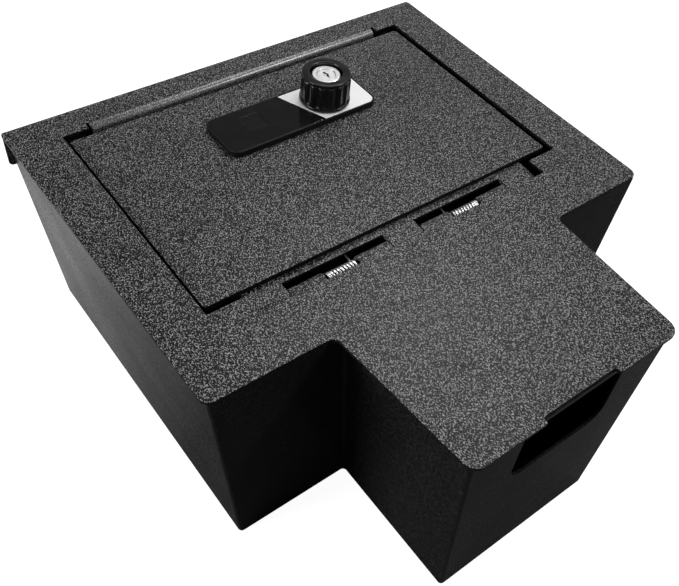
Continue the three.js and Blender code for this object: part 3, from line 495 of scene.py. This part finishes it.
body_mesh = cut_out(body_mesh, hole_mesh)
smoothed(body_mesh)
body_shell = new_piece("body_shell", body_mesh, satin_coat, "safe_body", wall_nodes)
rounded_edges(body_shell, width=0.35 * mm, segments=3)


# Floor pan
# Shallow pan of 2 mm sheet, welded inside the foot of the walls and coated with them.
corner_reach = 0.002 * mm
flat_angle = 0.6


def eased(node, paint, width, segments=2):
    """Copy of a node's solid with its corners joined, its flat faces made whole and its edges rounded over.
    The copy rides on the node's body and stands for the node."""
    mesh = frame["nodes"][node].data.copy()
    mesh.name = node + "_finished"
    mesh.materials.clear()
    work = bmesh.new()
    work.from_mesh(mesh)
    bmesh.ops.remove_doubles(work, verts=work.verts, dist=corner_reach)
    bmesh.ops.dissolve_limit(work, angle_limit=math.radians(flat_angle), verts=work.verts, edges=work.edges)
    work.to_mesh(mesh)
    work.free()
    smoothed(mesh)
    body = frame["nodes"][node]["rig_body"]
    piece = new_piece(node + "_finished", mesh, paint, body, (node,))
    rounded_edges(piece, width, segments)
    return piece


eased("floor_pan", satin_coat, width=0.3 * mm)


# Floor mat
# Loose mat of closed-cell foam, knife-cut to the floor, with soft edges.
mat_low, mat_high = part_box("floor_mat")
pan_clearance, pan_thickness, mat_clearance = 0.2 * mm, 2 * mm, 0.6 * mm
mat_inset = wall_thickness + pan_clearance + pan_thickness + mat_clearance
mat_round = 0.8 * mm
mat_steps = 5
turn = np.linspace(0, np.pi / 2, mat_steps)
mat_levels = np.concatenate([
    mat_low.z + mat_round * (1 - np.cos(turn)), mat_high.z - mat_round * (1 - np.sin(turn))])
mat_insets = np.concatenate([mat_round * (1 - np.sin(turn)), mat_round * (1 - np.cos(turn))])
mat_mesh = surface("foam_mat", np.stack([
    body_outline(level_z, mat_inset + edge) for level_z, edge in zip(mat_levels, mat_insets)]), caps=True)
outward(mat_mesh)
smoothed(mat_mesh)
foam_paint, tree, shader = finish("foam", (0.028, 0.028, 0.030), roughness=0.95, specular=0.2)
cells = placed(tree, grain_group, Fineness=1100.0, Contrast=2.0, Cover=0.5)
tree.links.new(blended(tree, cells["Shade"], (0.016, 0.016, 0.018), (0.045, 0.045, 0.048)),
               shader.inputs["Base Color"])
bumped(tree, shader, cells["Height"], depth=0.12 * mm)
foam_mat = new_piece("foam_mat", mat_mesh, foam_paint, "safe_body", ("floor_mat",))


# Face plate
# One 2 mm sheet with the lid's opening, the strike lip and the rear flange bent down from it. Its wrinkle
# coat is thin and smooth on the cut edges, and their dark satin colour is also painted shade on these upright
# faces.
# Its grain's colour spans from black to pale grey. This is partly the coat's own grain, and partly painted
# sparkle on the crests and painted shade in the hollows.
textured_coat = coat(
    "textured_coat", {"Fineness": 2200.0, "Contrast": 9.0, "Cover": 0.39}, depth=0.012 * mm,
    low=(0.001, 0.001, 0.0011), high=(0.26, 0.26, 0.262), gloss=(0.28, 0.34), hollow=0.04, specular=0.16)


def repaint(piece, paint, choose):
    """One more paint, on the faces that choose(normals, centres) marks."""
    faces = piece.data.polygons
    normals, centres = np.empty(len(faces) * 3), np.empty(len(faces) * 3)
    marks = np.empty(len(faces), np.int32)
    faces.foreach_get("normal", normals)
    faces.foreach_get("center", centres)
    faces.foreach_get("material_index", marks)
    chosen = choose(normals.reshape(-1, 3), centres.reshape(-1, 3))
    marks[chosen] = len(piece.data.materials)
    piece.data.materials.append(paint)
    faces.foreach_set("material_index", marks)


# A face is upright where its normal rises or falls by less than this share of its length.
upright_slope = 0.1


def smooth_edges_and_shade(piece, lowest):
    """Satin coat on the upright faces of a sheet that lie above a height: the smooth thin coat of its cut
    edges, whose dark colour is also painted shade.
    """
    repaint(piece, satin_coat, lambda normals, centres: (
        (abs(normals[:, 2]) < upright_slope) & (centres[:, 2] > lowest)))


sheet_thickness = 2 * mm
face_plate = eased("face_plate", textured_coat, width=0.3 * mm)
smooth_edges_and_shade(face_plate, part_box("face_plate")[1].z - sheet_thickness)
# The lip's bend is rubbed smooth by the closing lid, so that it shines more than the plate does. Its faces
# look forwards and up. As on the plate, its grain's pale crests are painted sparkle and its dark hollows
# painted shade.
lip_coat = coat(
    "lip_coat", {"Fineness": 2000.0, "Contrast": 6.0, "Cover": 0.40}, depth=0.008 * mm,
    low=(0.002, 0.002, 0.0021), high=(0.22, 0.22, 0.222), gloss=(0.26, 0.32), hollow=0.06, specular=0.75)
lip_margin = 6 * mm
lip_start_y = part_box("lid_plate")[1].y - lip_margin
bend_slope = 0.05
repaint(face_plate, lip_coat, lambda normals, centres: (
    (normals[:, 1] < -bend_slope) & (normals[:, 2] > bend_slope) & (centres[:, 1] > lip_start_y)))


# Lid stops
# Brackets folded from 2 mm strip and welded under the plate, each with a round rubber bumper pressed on.
def turned(name, profile, centre, sides):
    """Round piece about an upright axis: each (radius, height) of the profile is carried round a circle, and
    flat faces close its two ends."""
    angles = np.linspace(0, 2 * np.pi, sides, endpoint=False)
    profile = np.array(profile, float)
    rows = np.stack([
        centre[0] + profile[:, :1] * np.cos(angles),
        centre[1] + profile[:, :1] * np.sin(angles),
        np.repeat(profile[:, 1:], sides, 1),
    ], -1)
    mesh = surface(name, rows, caps=True)
    outward(mesh)
    return mesh


rubber, tree, shader = finish("rubber", (0.009, 0.009, 0.009), roughness=0.85, specular=0.3)
rub = placed(tree, handling_group, Size=400.0, Low=0.7, High=0.95)
tree.links.new(rub["Value"], shader.inputs["Roughness"])
bumper_dome = 1.0 * mm
bumper_groove = 0.3 * mm
bumper_flange = 0.5 * mm
bumper_flat_share = 0.3
bumper_sides = 40
dome_steps = 7
for side in ("left", "right"):
    eased(f"stop_bracket_{side}", satin_coat, width=0.3 * mm)
    low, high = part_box(f"lid_bumper_{side}")
    middle, radius = (low + high) / 2, (high.x - low.x) / 2
    neck_radius = radius - bumper_groove
    turn = np.linspace(0, np.pi / 2, dome_steps)
    dome = np.column_stack([neck_radius - bumper_dome * (1 - np.cos(turn)),
                            high.z - bumper_dome * (1 - np.sin(turn))])
    profile = [(radius, low.z), (radius, low.z + bumper_flange),
               (neck_radius, low.z + bumper_flange + bumper_groove), *dome,
               (radius * bumper_flat_share, high.z)]
    bumper_mesh = turned(f"rubber_bumper_{side}", profile, middle, bumper_sides)
    smoothed(bumper_mesh)
    new_piece(f"rubber_bumper_{side}", bumper_mesh, rubber, "safe_body",
              (f"lid_bumper_{side}",))


# Hinge
# Both leaves are cut and rolled from 2 mm sheet and have the wrinkle coat. A blackened steel pin runs the
# full width, and its near-black colour is also painted shade between the spring's turns.
line_squeeze = 0.03
brushed_group, entry, leaving = effect_group(
    "brushed_lines", {"Fineness": 2500.0, "Low": 0.25, "High": 0.45}, ("Value",))
place = brushed_group.nodes.new("ShaderNodeTexCoord")
stretch = brushed_group.nodes.new("ShaderNodeMapping")
stretch.inputs["Scale"].default_value = (1, line_squeeze, 1)
lines = brushed_group.nodes.new("ShaderNodeTexNoise")
lines.inputs["Detail"].default_value = 3
brushed_group.links.new(place.outputs["Object"], stretch.inputs["Vector"])
brushed_group.links.new(stretch.outputs["Vector"], lines.inputs["Vector"])
brushed_group.links.new(entry.outputs["Fineness"], lines.inputs["Scale"])
line_value = ranged(
    brushed_group, lines.outputs["Fac"], *noise_span, entry.outputs["Low"], entry.outputs["High"])
brushed_group.links.new(line_value, leaving.inputs["Value"])


def metal(name, low, high, gloss, size, fineness=2500.0):
    """Bare or plated metal: cloudy colour between two tones, and brushed lines in its gloss."""
    paint, tree, shader = finish(name, high, gloss[0], metallic=1.0)
    cloud = placed(tree, handling_group, Size=size, Low=0.0, High=1.0)
    tree.links.new(blended(tree, cloud["Value"], low, high), shader.inputs["Base Color"])
    lines = placed(tree, brushed_group, Low=gloss[0], High=gloss[1], Fineness=fineness)
    tree.links.new(lines["Value"], shader.inputs["Roughness"])
    return paint


leaf_edge_above = 1.8 * mm
eased("body_leaf", textured_coat, width=0.25 * mm)
# Painted shade: the pin is near black, so that it reads dark between the spring's turns.
black_steel = metal(
    "black_steel", low=(0.010, 0.010, 0.011), high=(0.022, 0.022, 0.023),
    gloss=(0.45, 0.60), size=220.0)
eased("hinge_pin", black_steel, width=0.25 * mm)
lid_leaf = eased("lid_leaf", textured_coat, width=0.25 * mm)
# Its upright edges get the dark satin coat, partly painted shade.
smooth_edges_and_shade(lid_leaf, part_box("lid_leaf")[1].z - leaf_edge_above)


# Hinge springs
# Torsion springs of 1.2 mm steel wire around the pin, with two closed turns at the outer end and eight open
# ones. One leg bears on the body's leaf, the other lifts the lid.
nearly_upright = 0.9
wire_sharp_angle = 60


def wire(name, path, radius, sides):
    """Round wire along a path of points, closed at both ends. Each section is set square to the path's
    tangent, on axes carried along it without twist from one point to the next."""
    tangents = np.gradient(path, axis=0)
    tangents /= np.linalg.norm(tangents, axis=1, keepdims=True)
    aside = (0, 0, 1) if abs(tangents[0, 2]) < nearly_upright else (1, 0, 0)
    first = np.cross(tangents[0], aside)
    axes = [first / np.linalg.norm(first)]
    for tangent in tangents[1:]:
        carried = axes[-1] - tangent * (axes[-1] @ tangent)
        axes.append(carried / np.linalg.norm(carried))
    across = np.array(axes)
    up = np.cross(tangents, across)
    angles = np.linspace(0, 2 * np.pi, sides, endpoint=False)
    rows = path[:, None] + radius * (across[:, None] * np.cos(angles)[:, None]
                                     + up[:, None] * np.sin(angles)[:, None])
    mesh = surface(name, rows, caps=True)
    outward(mesh)
    smoothed(mesh, wire_sharp_angle)
    return mesh


def smooth_path(points, steps):
    """Catmull-Rom curve through points, each span cut into steps."""
    points = np.array(points, float)
    padded = np.concatenate([2 * points[:1] - points[1:2], points, 2 * points[-1:] - points[-2:-1]])
    share = np.linspace(0, 1, steps, endpoint=False)[:, None, None]
    before, start, end, after = padded[:-3], padded[1:-2], padded[2:-1], padded[3:]
    curve = 0.5 * (2 * start + (end - before) * share + (2 * before - 5 * start + 4 * end - after) * share**2
                   + (3 * start - before - 3 * end + after) * share**3)
    return np.concatenate([curve.transpose(1, 0, 2).reshape(-1, 3), points[-1:]])


spring_steel = metal(
    "spring_steel", low=(0.62, 0.62, 0.63), high=(0.88, 0.88, 0.89),
    gloss=(0.26, 0.38), size=260.0)
spring_wire_radius = 0.6 * mm
spring_coil_radius = 2.65 * mm
closed_turns = 2
open_turns = 8
coil_steps = 20
leg_steps = 8
spring_sides = 12
spring_body_reach = 7.8 * mm
spring_lid_reach = 22 * mm
spring_leg_gap = 0.3 * mm
pin_low, pin_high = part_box("hinge_pin")
hinge_y, hinge_z = (pin_low.y + pin_high.y) / 2, (pin_low.z + pin_high.z) / 2
leaf_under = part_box("lid_leaf")[1].z - sheet_thickness
for side in ("left", "right"):
    low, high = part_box(f"hinge_spring_{side}")
    ends = (low.x, high.x) if side == "left" else (high.x, low.x)
    inward = 1 if side == "left" else -1
    run = (ends[0] + inward * spring_wire_radius, ends[1] - inward * spring_wire_radius)
    turns = np.linspace(0, closed_turns + open_turns, (closed_turns + open_turns) * coil_steps + 1)
    closed_length = closed_turns * 2 * spring_wire_radius
    travel = np.interp(turns, [0, closed_turns, closed_turns + open_turns],
                       [0, closed_length, abs(run[1] - run[0])])
    around = turns * 2 * np.pi
    coil = np.stack([run[0] + inward * travel,
                     hinge_y + spring_coil_radius * np.sin(around),
                     hinge_z - spring_coil_radius * np.cos(around)], -1)
    coil_low = hinge_z - spring_coil_radius
    leg_z = leaf_under - spring_leg_gap - spring_wire_radius
    body_leg = smooth_path([(run[0], hinge_y - spring_body_reach, coil_low),
                            (run[0], hinge_y - spring_body_reach / 2, coil_low), coil[0]], leg_steps)[:-1]
    lid_leg = smooth_path([coil[-1], (run[1], hinge_y + spring_lid_reach / 3, (coil_low * 2 + leg_z) / 3),
                           (run[1], hinge_y + spring_lid_reach, leg_z)], leg_steps)[1:]
    spring_mesh = wire(f"torsion_spring_{side}", np.concatenate([body_leg, coil, lid_leg]),
                       spring_wire_radius, spring_sides)
    spring_mesh.materials.append(spring_steel)
    spring = bpy.data.objects.new(f"torsion_spring_{side}", spring_mesh)
    bpy.context.scene.collection.objects.link(spring)
    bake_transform(spring)
    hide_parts(f"hinge_spring_{side}")


# Lid
# Plate of 3.3 mm steel, wrinkle coated, that lies 2 mm below the face plate with a dark gap all round.
lid_plate = eased("lid_plate", textured_coat, width=0.35 * mm)
# Its upright edges get the dark satin coat, partly painted shade.
smooth_edges_and_shade(lid_plate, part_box("lid_plate")[0].z)


# Lock module
# Moulded black base, screwed on from under the lid. A glossy touch panel with its sensor window and a bright
# trim plate are let into its top.
moulding, tree, shader = finish("moulding", (0.005, 0.005, 0.0053), roughness=0.3, specular=0.12)
skin = placed(tree, grain_group, Fineness=2600.0, Contrast=1.5, Cover=0.5)
tree.links.new(blended(tree, skin["Shade"], (0.003, 0.003, 0.0032), (0.006, 0.006, 0.0063)),
               shader.inputs["Base Color"])
worn = placed(tree, handling_group, Size=60.0, Low=0.3, High=0.45)
tree.links.new(worn["Value"], shader.inputs["Roughness"])
bumped(tree, shader, skin["Height"], depth=0.01 * mm)
eased("module_base", moulding, width=0.4 * mm, segments=3)

gloss_panel, tree, shader = finish("gloss_panel", (0.006, 0.006, 0.0065), roughness=0.08)
smear = placed(tree, handling_group, Size=120.0, Low=0.05, High=0.14)
tree.links.new(smear["Value"], shader.inputs["Roughness"])
eased("sensor_panel", gloss_panel, width=0.15 * mm)
sensor_glass, tree, shader = finish("sensor_glass", (0.006, 0.006, 0.0065), roughness=0.10)
smear = placed(tree, handling_group, Size=300.0, Low=0.08, High=0.16)
tree.links.new(smear["Value"], shader.inputs["Roughness"])
eased("sensor_window", sensor_glass, width=0.1 * mm)

bright_trim, tree, shader = finish("bright_trim", (0.86, 0.86, 0.865), roughness=0.5, metallic=0.2)
lines = placed(tree, brushed_group, Low=0.0, High=1.0, Fineness=3200.0)
tree.links.new(blended(tree, lines["Value"], (0.91, 0.91, 0.915), (0.83, 0.83, 0.84)),
               shader.inputs["Base Color"])
shine = placed(tree, brushed_group, Low=0.42, High=0.58, Fineness=3200.0)
tree.links.new(shine["Value"], shader.inputs["Roughness"])
eased("trim_plate", bright_trim, width=0.15 * mm)

zinc_steel = metal(
    "zinc_steel", low=(0.36, 0.37, 0.38), high=(0.56, 0.57, 0.58),
    gloss=(0.30, 0.46), size=220.0)
for side in ("left", "right"):
    eased(f"module_screw_{side}", zinc_steel, width=0.12 * mm)


# Lock housing
# Folded zinc-plated case spot-welded under the lid, with the bolt's guide beside the knob's spindle.
eased("lock_case", zinc_steel, width=0.25 * mm)
eased("bolt_guide", zinc_steel, width=0.25 * mm)


# Solenoid
# Steel yoke bent round a winding wrapped in amber tape. Its plunger runs in the bore, with a collar and a
# return spring on the knob's side.
def standing(low, high, radius, ease=0.0, steps=5):
    """Rows of an upright block with rounded corners, drawn in by an ease at its foot and its top."""
    levels = [(low[2], 0), (high[2], 0)]
    if ease:
        levels = [(low[2], ease), (low[2] + ease, 0), (high[2] - ease, 0), (high[2], ease)]
    rows = []
    for level_z, inset in levels:
        left, front = low[0] + inset, low[1] + inset
        right, back = high[0] - inset, high[1] - inset
        corners = ((left, front), (right, front), (right, back), (left, back))
        flat = rounded_outline([(x, y, radius - inset) for x, y in corners], steps)
        rows.append(np.column_stack([flat, np.full(len(flat), level_z)]))
    return np.stack(rows)


winding_paint, tree, shader = finish("amber_tape", (0.30, 0.13, 0.02), roughness=0.3)
turns_seen = placed(tree, brushed_group, Low=0.0, High=1.0, Fineness=1600.0)
tree.links.new(blended(tree, turns_seen["Value"], (0.16, 0.06, 0.012), (0.42, 0.19, 0.03)),
               shader.inputs["Base Color"])
bumped(tree, shader, turns_seen["Value"], depth=0.05 * mm)
low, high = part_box("solenoid_body")
yoke_thickness = 1.5 * mm
yoke_bend_radius = 2.2 * mm
winding_gap = 0.4 * mm
winding_side_gap = 0.5 * mm
bore_radius = 5.2 * mm
bore_sides = 40
middle = (low + high) / 2
# The yoke's two outlines are worked out as upright blocks, and then laid along y by changing y and z over.
laid_over = [0, 2, 1]
yoke_outer = standing((low.x, low.z, low.y), (high.x, high.z, high.y), yoke_bend_radius)[..., laid_over]
yoke_inner = standing(
    (low.x + yoke_thickness, low.z + yoke_thickness, low.y),
    (high.x - yoke_thickness, high.z - yoke_thickness, high.y),
    yoke_bend_radius - yoke_thickness)[..., laid_over]
yoke_mesh = surface("solenoid_yoke", np.concatenate([yoke_outer, yoke_inner[::-1]]), wrap=True)
outward(yoke_mesh)
bore_angles = np.linspace(0, 2 * np.pi, bore_sides, endpoint=False)
bore_mesh = surface("bore_cutter", np.stack([
    np.column_stack([np.full(bore_sides, x), middle.y + bore_radius * np.cos(bore_angles),
                     middle.z + bore_radius * np.sin(bore_angles)])
    for x in (high.x - cutter_reach, high.x + cutter_reach)]), caps=True)
outward(bore_mesh)
yoke_mesh = cut_out(yoke_mesh, bore_mesh)
smoothed(yoke_mesh)
yoke = new_piece("solenoid_yoke", yoke_mesh, zinc_steel, "lid", ("solenoid_body",))
rounded_edges(yoke, width=0.15 * mm)

# The winding fits between the yoke's walls, and swells a little halfway along.
winding_corner_radius = 5 * mm
winding_corner_steps = 6
winding_rings = 9
winding_swell = 0.04
winding_inset = Vector((yoke_thickness + winding_gap, winding_side_gap, yoke_thickness + winding_gap))
wound_low, wound_high = low + winding_inset, high - winding_inset
wound_corners = ((wound_low.y, wound_low.z), (wound_high.y, wound_low.z),
                 (wound_high.y, wound_high.z), (wound_low.y, wound_high.z))
section = rounded_outline([(y, z, winding_corner_radius) for y, z in wound_corners], winding_corner_steps)
outwards = section - [middle.y, middle.z]
bore = outwards / np.linalg.norm(outwards, axis=1, keepdims=True) * bore_radius + [middle.y, middle.z]
wound_rows = [np.column_stack([
    np.full(len(section), wound_low.x + (wound_high.x - wound_low.x) * share),
    section + outwards * winding_swell * (math.sin(math.pi * share) - 1)])
    for share in np.linspace(0, 1, winding_rings)]
bore_rows = [np.column_stack([np.full(len(section), x), bore]) for x in (wound_high.x, wound_low.x)]
winding_mesh = surface("solenoid_winding", np.stack(wound_rows + bore_rows), wrap=True)
outward(winding_mesh)
smoothed(winding_mesh)
winding = new_piece("solenoid_winding", winding_mesh, winding_paint, "lid",
                    ("solenoid_body",))
rounded_edges(winding, width=0.3 * mm)

bolt_steel = metal(
    "bolt_steel", low=(0.50, 0.50, 0.51), high=(0.70, 0.70, 0.71),
    gloss=(0.22, 0.40), size=90.0)
eased("solenoid_plunger", bolt_steel, width=0.2 * mm)
low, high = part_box("solenoid_spring")
return_wire_radius = 0.35 * mm
return_turns = 3
return_sides = 8
share = np.linspace(0, 1, return_turns * coil_steps + 1)
around = share * return_turns * 2 * np.pi
middle = (low + high) / 2
return_radius = (high.y - low.y) / 2 - return_wire_radius
return_path = np.stack([
    low.x + return_wire_radius + (high.x - low.x - 2 * return_wire_radius) * share,
    middle.y + return_radius * np.sin(around), middle.z - return_radius * np.cos(around)], -1)
return_mesh = wire("return_spring", return_path, return_wire_radius, return_sides)
new_piece("return_spring", return_mesh, spring_steel, "plunger", ("solenoid_spring",))


# Battery tray and batteries
# Moulded tray with four channels, and four round cells with dark jackets and bright ends, laid head to tail.
eased("battery_tray", moulding, width=0.2 * mm)
jacket, tree, shader = finish("battery_jacket", (0.03, 0.032, 0.036), roughness=0.32, metallic=0.2)
scuffs = placed(tree, handling_group, Size=150.0, Low=0.25, High=0.42)
tree.links.new(scuffs["Value"], shader.inputs["Roughness"])
tone = placed(tree, handling_group, Size=150.0, Low=0.0, High=1.0)
tree.links.new(blended(tree, tone["Value"], (0.022, 0.024, 0.028), (0.05, 0.052, 0.058)),
               shader.inputs["Base Color"])
cell_cap = metal(
    "cell_cap", low=(0.55, 0.54, 0.52), high=(0.78, 0.77, 0.74),
    gloss=(0.18, 0.32), size=200.0)
jacket_margin = 1.6 * mm
for number in (1, 2, 3, 4):
    cell = eased(f"battery_{number}", jacket, width=0.4 * mm, segments=3)
    low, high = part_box(f"battery_{number}")
    cell_middle, jacket_half = (low.y + high.y) / 2, (high.y - low.y) / 2 - jacket_margin
    repaint(cell, cell_cap, lambda normals, centres: abs(centres[:, 1] - cell_middle) > jacket_half)


# Circuit board
# Green laminate on four standoffs. Its chips, a socket, a round capacitor and a row of small parts are
# soldered on from below.
laminate, tree, shader = finish("laminate", (0.014, 0.10, 0.035), roughness=0.35)
tracks = placed(tree, grain_group, Fineness=260.0, Contrast=8.0, Cover=0.45)
tree.links.new(blended(tree, tracks["Shade"], (0.012, 0.085, 0.03), (0.03, 0.17, 0.06)),
               shader.inputs["Base Color"])
eased("circuit_board", laminate, width=0.1 * mm)
board_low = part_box("circuit_board")[0]
# Each part is given by its corner nearest the board's own corner, its width, depth and height. These and the
# row's start and step are in millimetres.
chips = [(16, 14, 9, 9, 1.4), (30, 8, 6, 5, 1.2), (33, 22, 7, 10, 4.5)]
small_start, small_step, small_count = 6, 5.5, 6
small_parts = [(small_start + number * small_step, 5, 2, 1.2, 0.7) for number in range(small_count)]
block_corner_radius = 0.3 * mm
block_ease = 0.1 * mm


def board_blocks(name, blocks, paint):
    """Rounded blocks that hang under the board, all in one mesh."""
    work = bmesh.new()
    for x, y, width, depth, height in blocks:
        corner = Vector((board_low.x + x * mm, board_low.y + y * mm, board_low.z - height * mm))
        rows = standing(corner, corner + Vector((width, depth, height)) * mm, block_corner_radius,
                        ease=block_ease, steps=3)
        block = surface("block", rows, caps=True)
        outward(block)
        work.from_mesh(block)
        bpy.data.meshes.remove(block)
    mesh = bpy.data.meshes.new(name)
    work.to_mesh(mesh)
    work.free()
    smoothed(mesh)
    return new_piece(name, mesh, paint, "lid")


board_blocks("board_chips", chips, moulding)
board_blocks("board_small_parts", small_parts, zinc_steel)
can_radius, can_height = 3.2 * mm, 5.5 * mm
can_bevel, can_groove = 0.4 * mm, 0.3 * mm
can_sides = 32
can_middle = (board_low.x + 8 * mm, board_low.y + 30 * mm)
can_foot = board_low.z - can_height
groove_z = board_low.z - 0.9 * mm
can_mesh = turned("board_capacitor", [
    (can_radius / 2, can_foot), (can_radius - can_bevel, can_foot), (can_radius, can_foot + can_bevel),
    (can_radius, groove_z - can_groove), (can_radius - can_groove, groove_z),
    (can_radius, groove_z + can_groove), (can_radius, board_low.z)], can_middle, can_sides)
smoothed(can_mesh)
can = new_piece("board_capacitor", can_mesh, jacket, "lid")
repaint(can, cell_cap, lambda normals, centres: centres[:, 2] < can_foot + can_bevel / 4)


# Bolt and its drive
# Flat bright bar with a window for the spindle, driven by the crank's pin. The spindle, the crank, the clip
# and the key's cam are zinc plated.
eased("latch_bolt", bolt_steel, width=0.3 * mm)
for node in ("knob_spindle", "drive_crank", "spindle_clip", "release_cam"):
    eased(node, zinc_steel, width=0.2 * mm)


# Housing cover
# Flat satin plate under the housing, held by four pan head screws.
eased("case_cover", satin_coat, width=0.25 * mm)
for number in (1, 2, 3, 4):
    eased(f"cover_screw_{number}", zinc_steel, width=0.12 * mm)


# Knob
# Moulded in black, with a flared foot, a grip with sixteen shallow flutes and a plain ring on top, round a
# well that takes the lock.
knob_paint, tree, shader = finish("knob_black", (0.004, 0.004, 0.0043), roughness=0.2, specular=0.3)
worn = placed(tree, handling_group, Size=90.0, Low=0.16, High=0.26)
tree.links.new(worn["Value"], shader.inputs["Roughness"])
low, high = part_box("knob_grip")
knob_middle = (low + high) / 2
flute_count = 16
flute_depth = 0.9 * mm
steps_per_flute = 14
around_steps = flute_count * steps_per_flute
angles = np.linspace(0, 2 * np.pi, around_steps, endpoint=False)
foot_radius, grip_radius, ring_radius = 15.8 * mm, 15.4 * mm, 15.0 * mm
well_radius, hole_radius = 10.2 * mm, 3.5 * mm
foot_height, ring_height, well_floor_height = 2.2 * mm, 2.0 * mm, 2.6 * mm
foot_bevel, rim_ease = 0.3 * mm, 0.5 * mm
rim_steps = 5
knob_sharp_angle = 50
foot_top = low.z + foot_height
ring_low = high.z - ring_height
well_floor = low.z + well_floor_height


def rim(radius, height, side):
    """Quarter round of the profile under a height. It runs up on the outside of a wall, for a side of 1, and
    down on its inside, for a side of -1."""
    quarter = np.linspace(0, np.pi / 2, rim_steps)[::side]
    return list(zip(radius - side * rim_ease * (1 - np.cos(quarter)),
                    height - rim_ease * (1 - np.sin(quarter)), np.zeros(rim_steps)))


# Each point of the profile is a radius, a height and the share of the flutes' depth cut there.
knob_profile = np.array([
    (hole_radius, low.z, 0), (foot_radius - foot_bevel, low.z, 0), (foot_radius, low.z + foot_bevel, 0),
    *rim(foot_radius, foot_top, 1),
    (grip_radius - 0.15 * mm, foot_top + 0.02 * mm, 0.6), (grip_radius - 0.05 * mm, foot_top + 0.5 * mm, 1),
    (grip_radius, foot_top + 2 * mm, 1), (grip_radius, ring_low - 1.2 * mm, 1),
    (grip_radius - 0.1 * mm, ring_low - 0.5 * mm, 0.8), (ring_radius - 0.2 * mm, ring_low - 0.1 * mm, 0.2),
    (ring_radius, ring_low + 0.2 * mm, 0),
    *rim(ring_radius, high.z, 1), *rim(well_radius, high.z, -1),
    (well_radius, well_floor, 0), (hole_radius, well_floor, 0),
])
flutes = flute_depth * np.sin(angles * flute_count / 2) ** 2
radii = knob_profile[:, :1] - knob_profile[:, 2:] * flutes
knob_mesh = surface("knob", np.stack([
    knob_middle.x + radii * np.cos(angles), knob_middle.y + radii * np.sin(angles),
    np.repeat(knob_profile[:, 1:2], around_steps, 1)], -1), wrap=True)
outward(knob_mesh)
smoothed(knob_mesh, knob_sharp_angle)
new_piece("fluted_knob", knob_mesh, knob_paint, "knob", ("knob_grip",))


# Key cylinder
# Chromed barrel let into the knob's well, with a turning plug and its zigzag keyway.
chrome = metal(
    "barrel_chrome", low=(0.66, 0.66, 0.67), high=(0.88, 0.88, 0.89),
    gloss=(0.26, 0.40), size=300.0, fineness=4000.0)
eased("lock_barrel", chrome, width=0.2 * mm)
eased("key_plug", chrome, width=0.15 * mm)
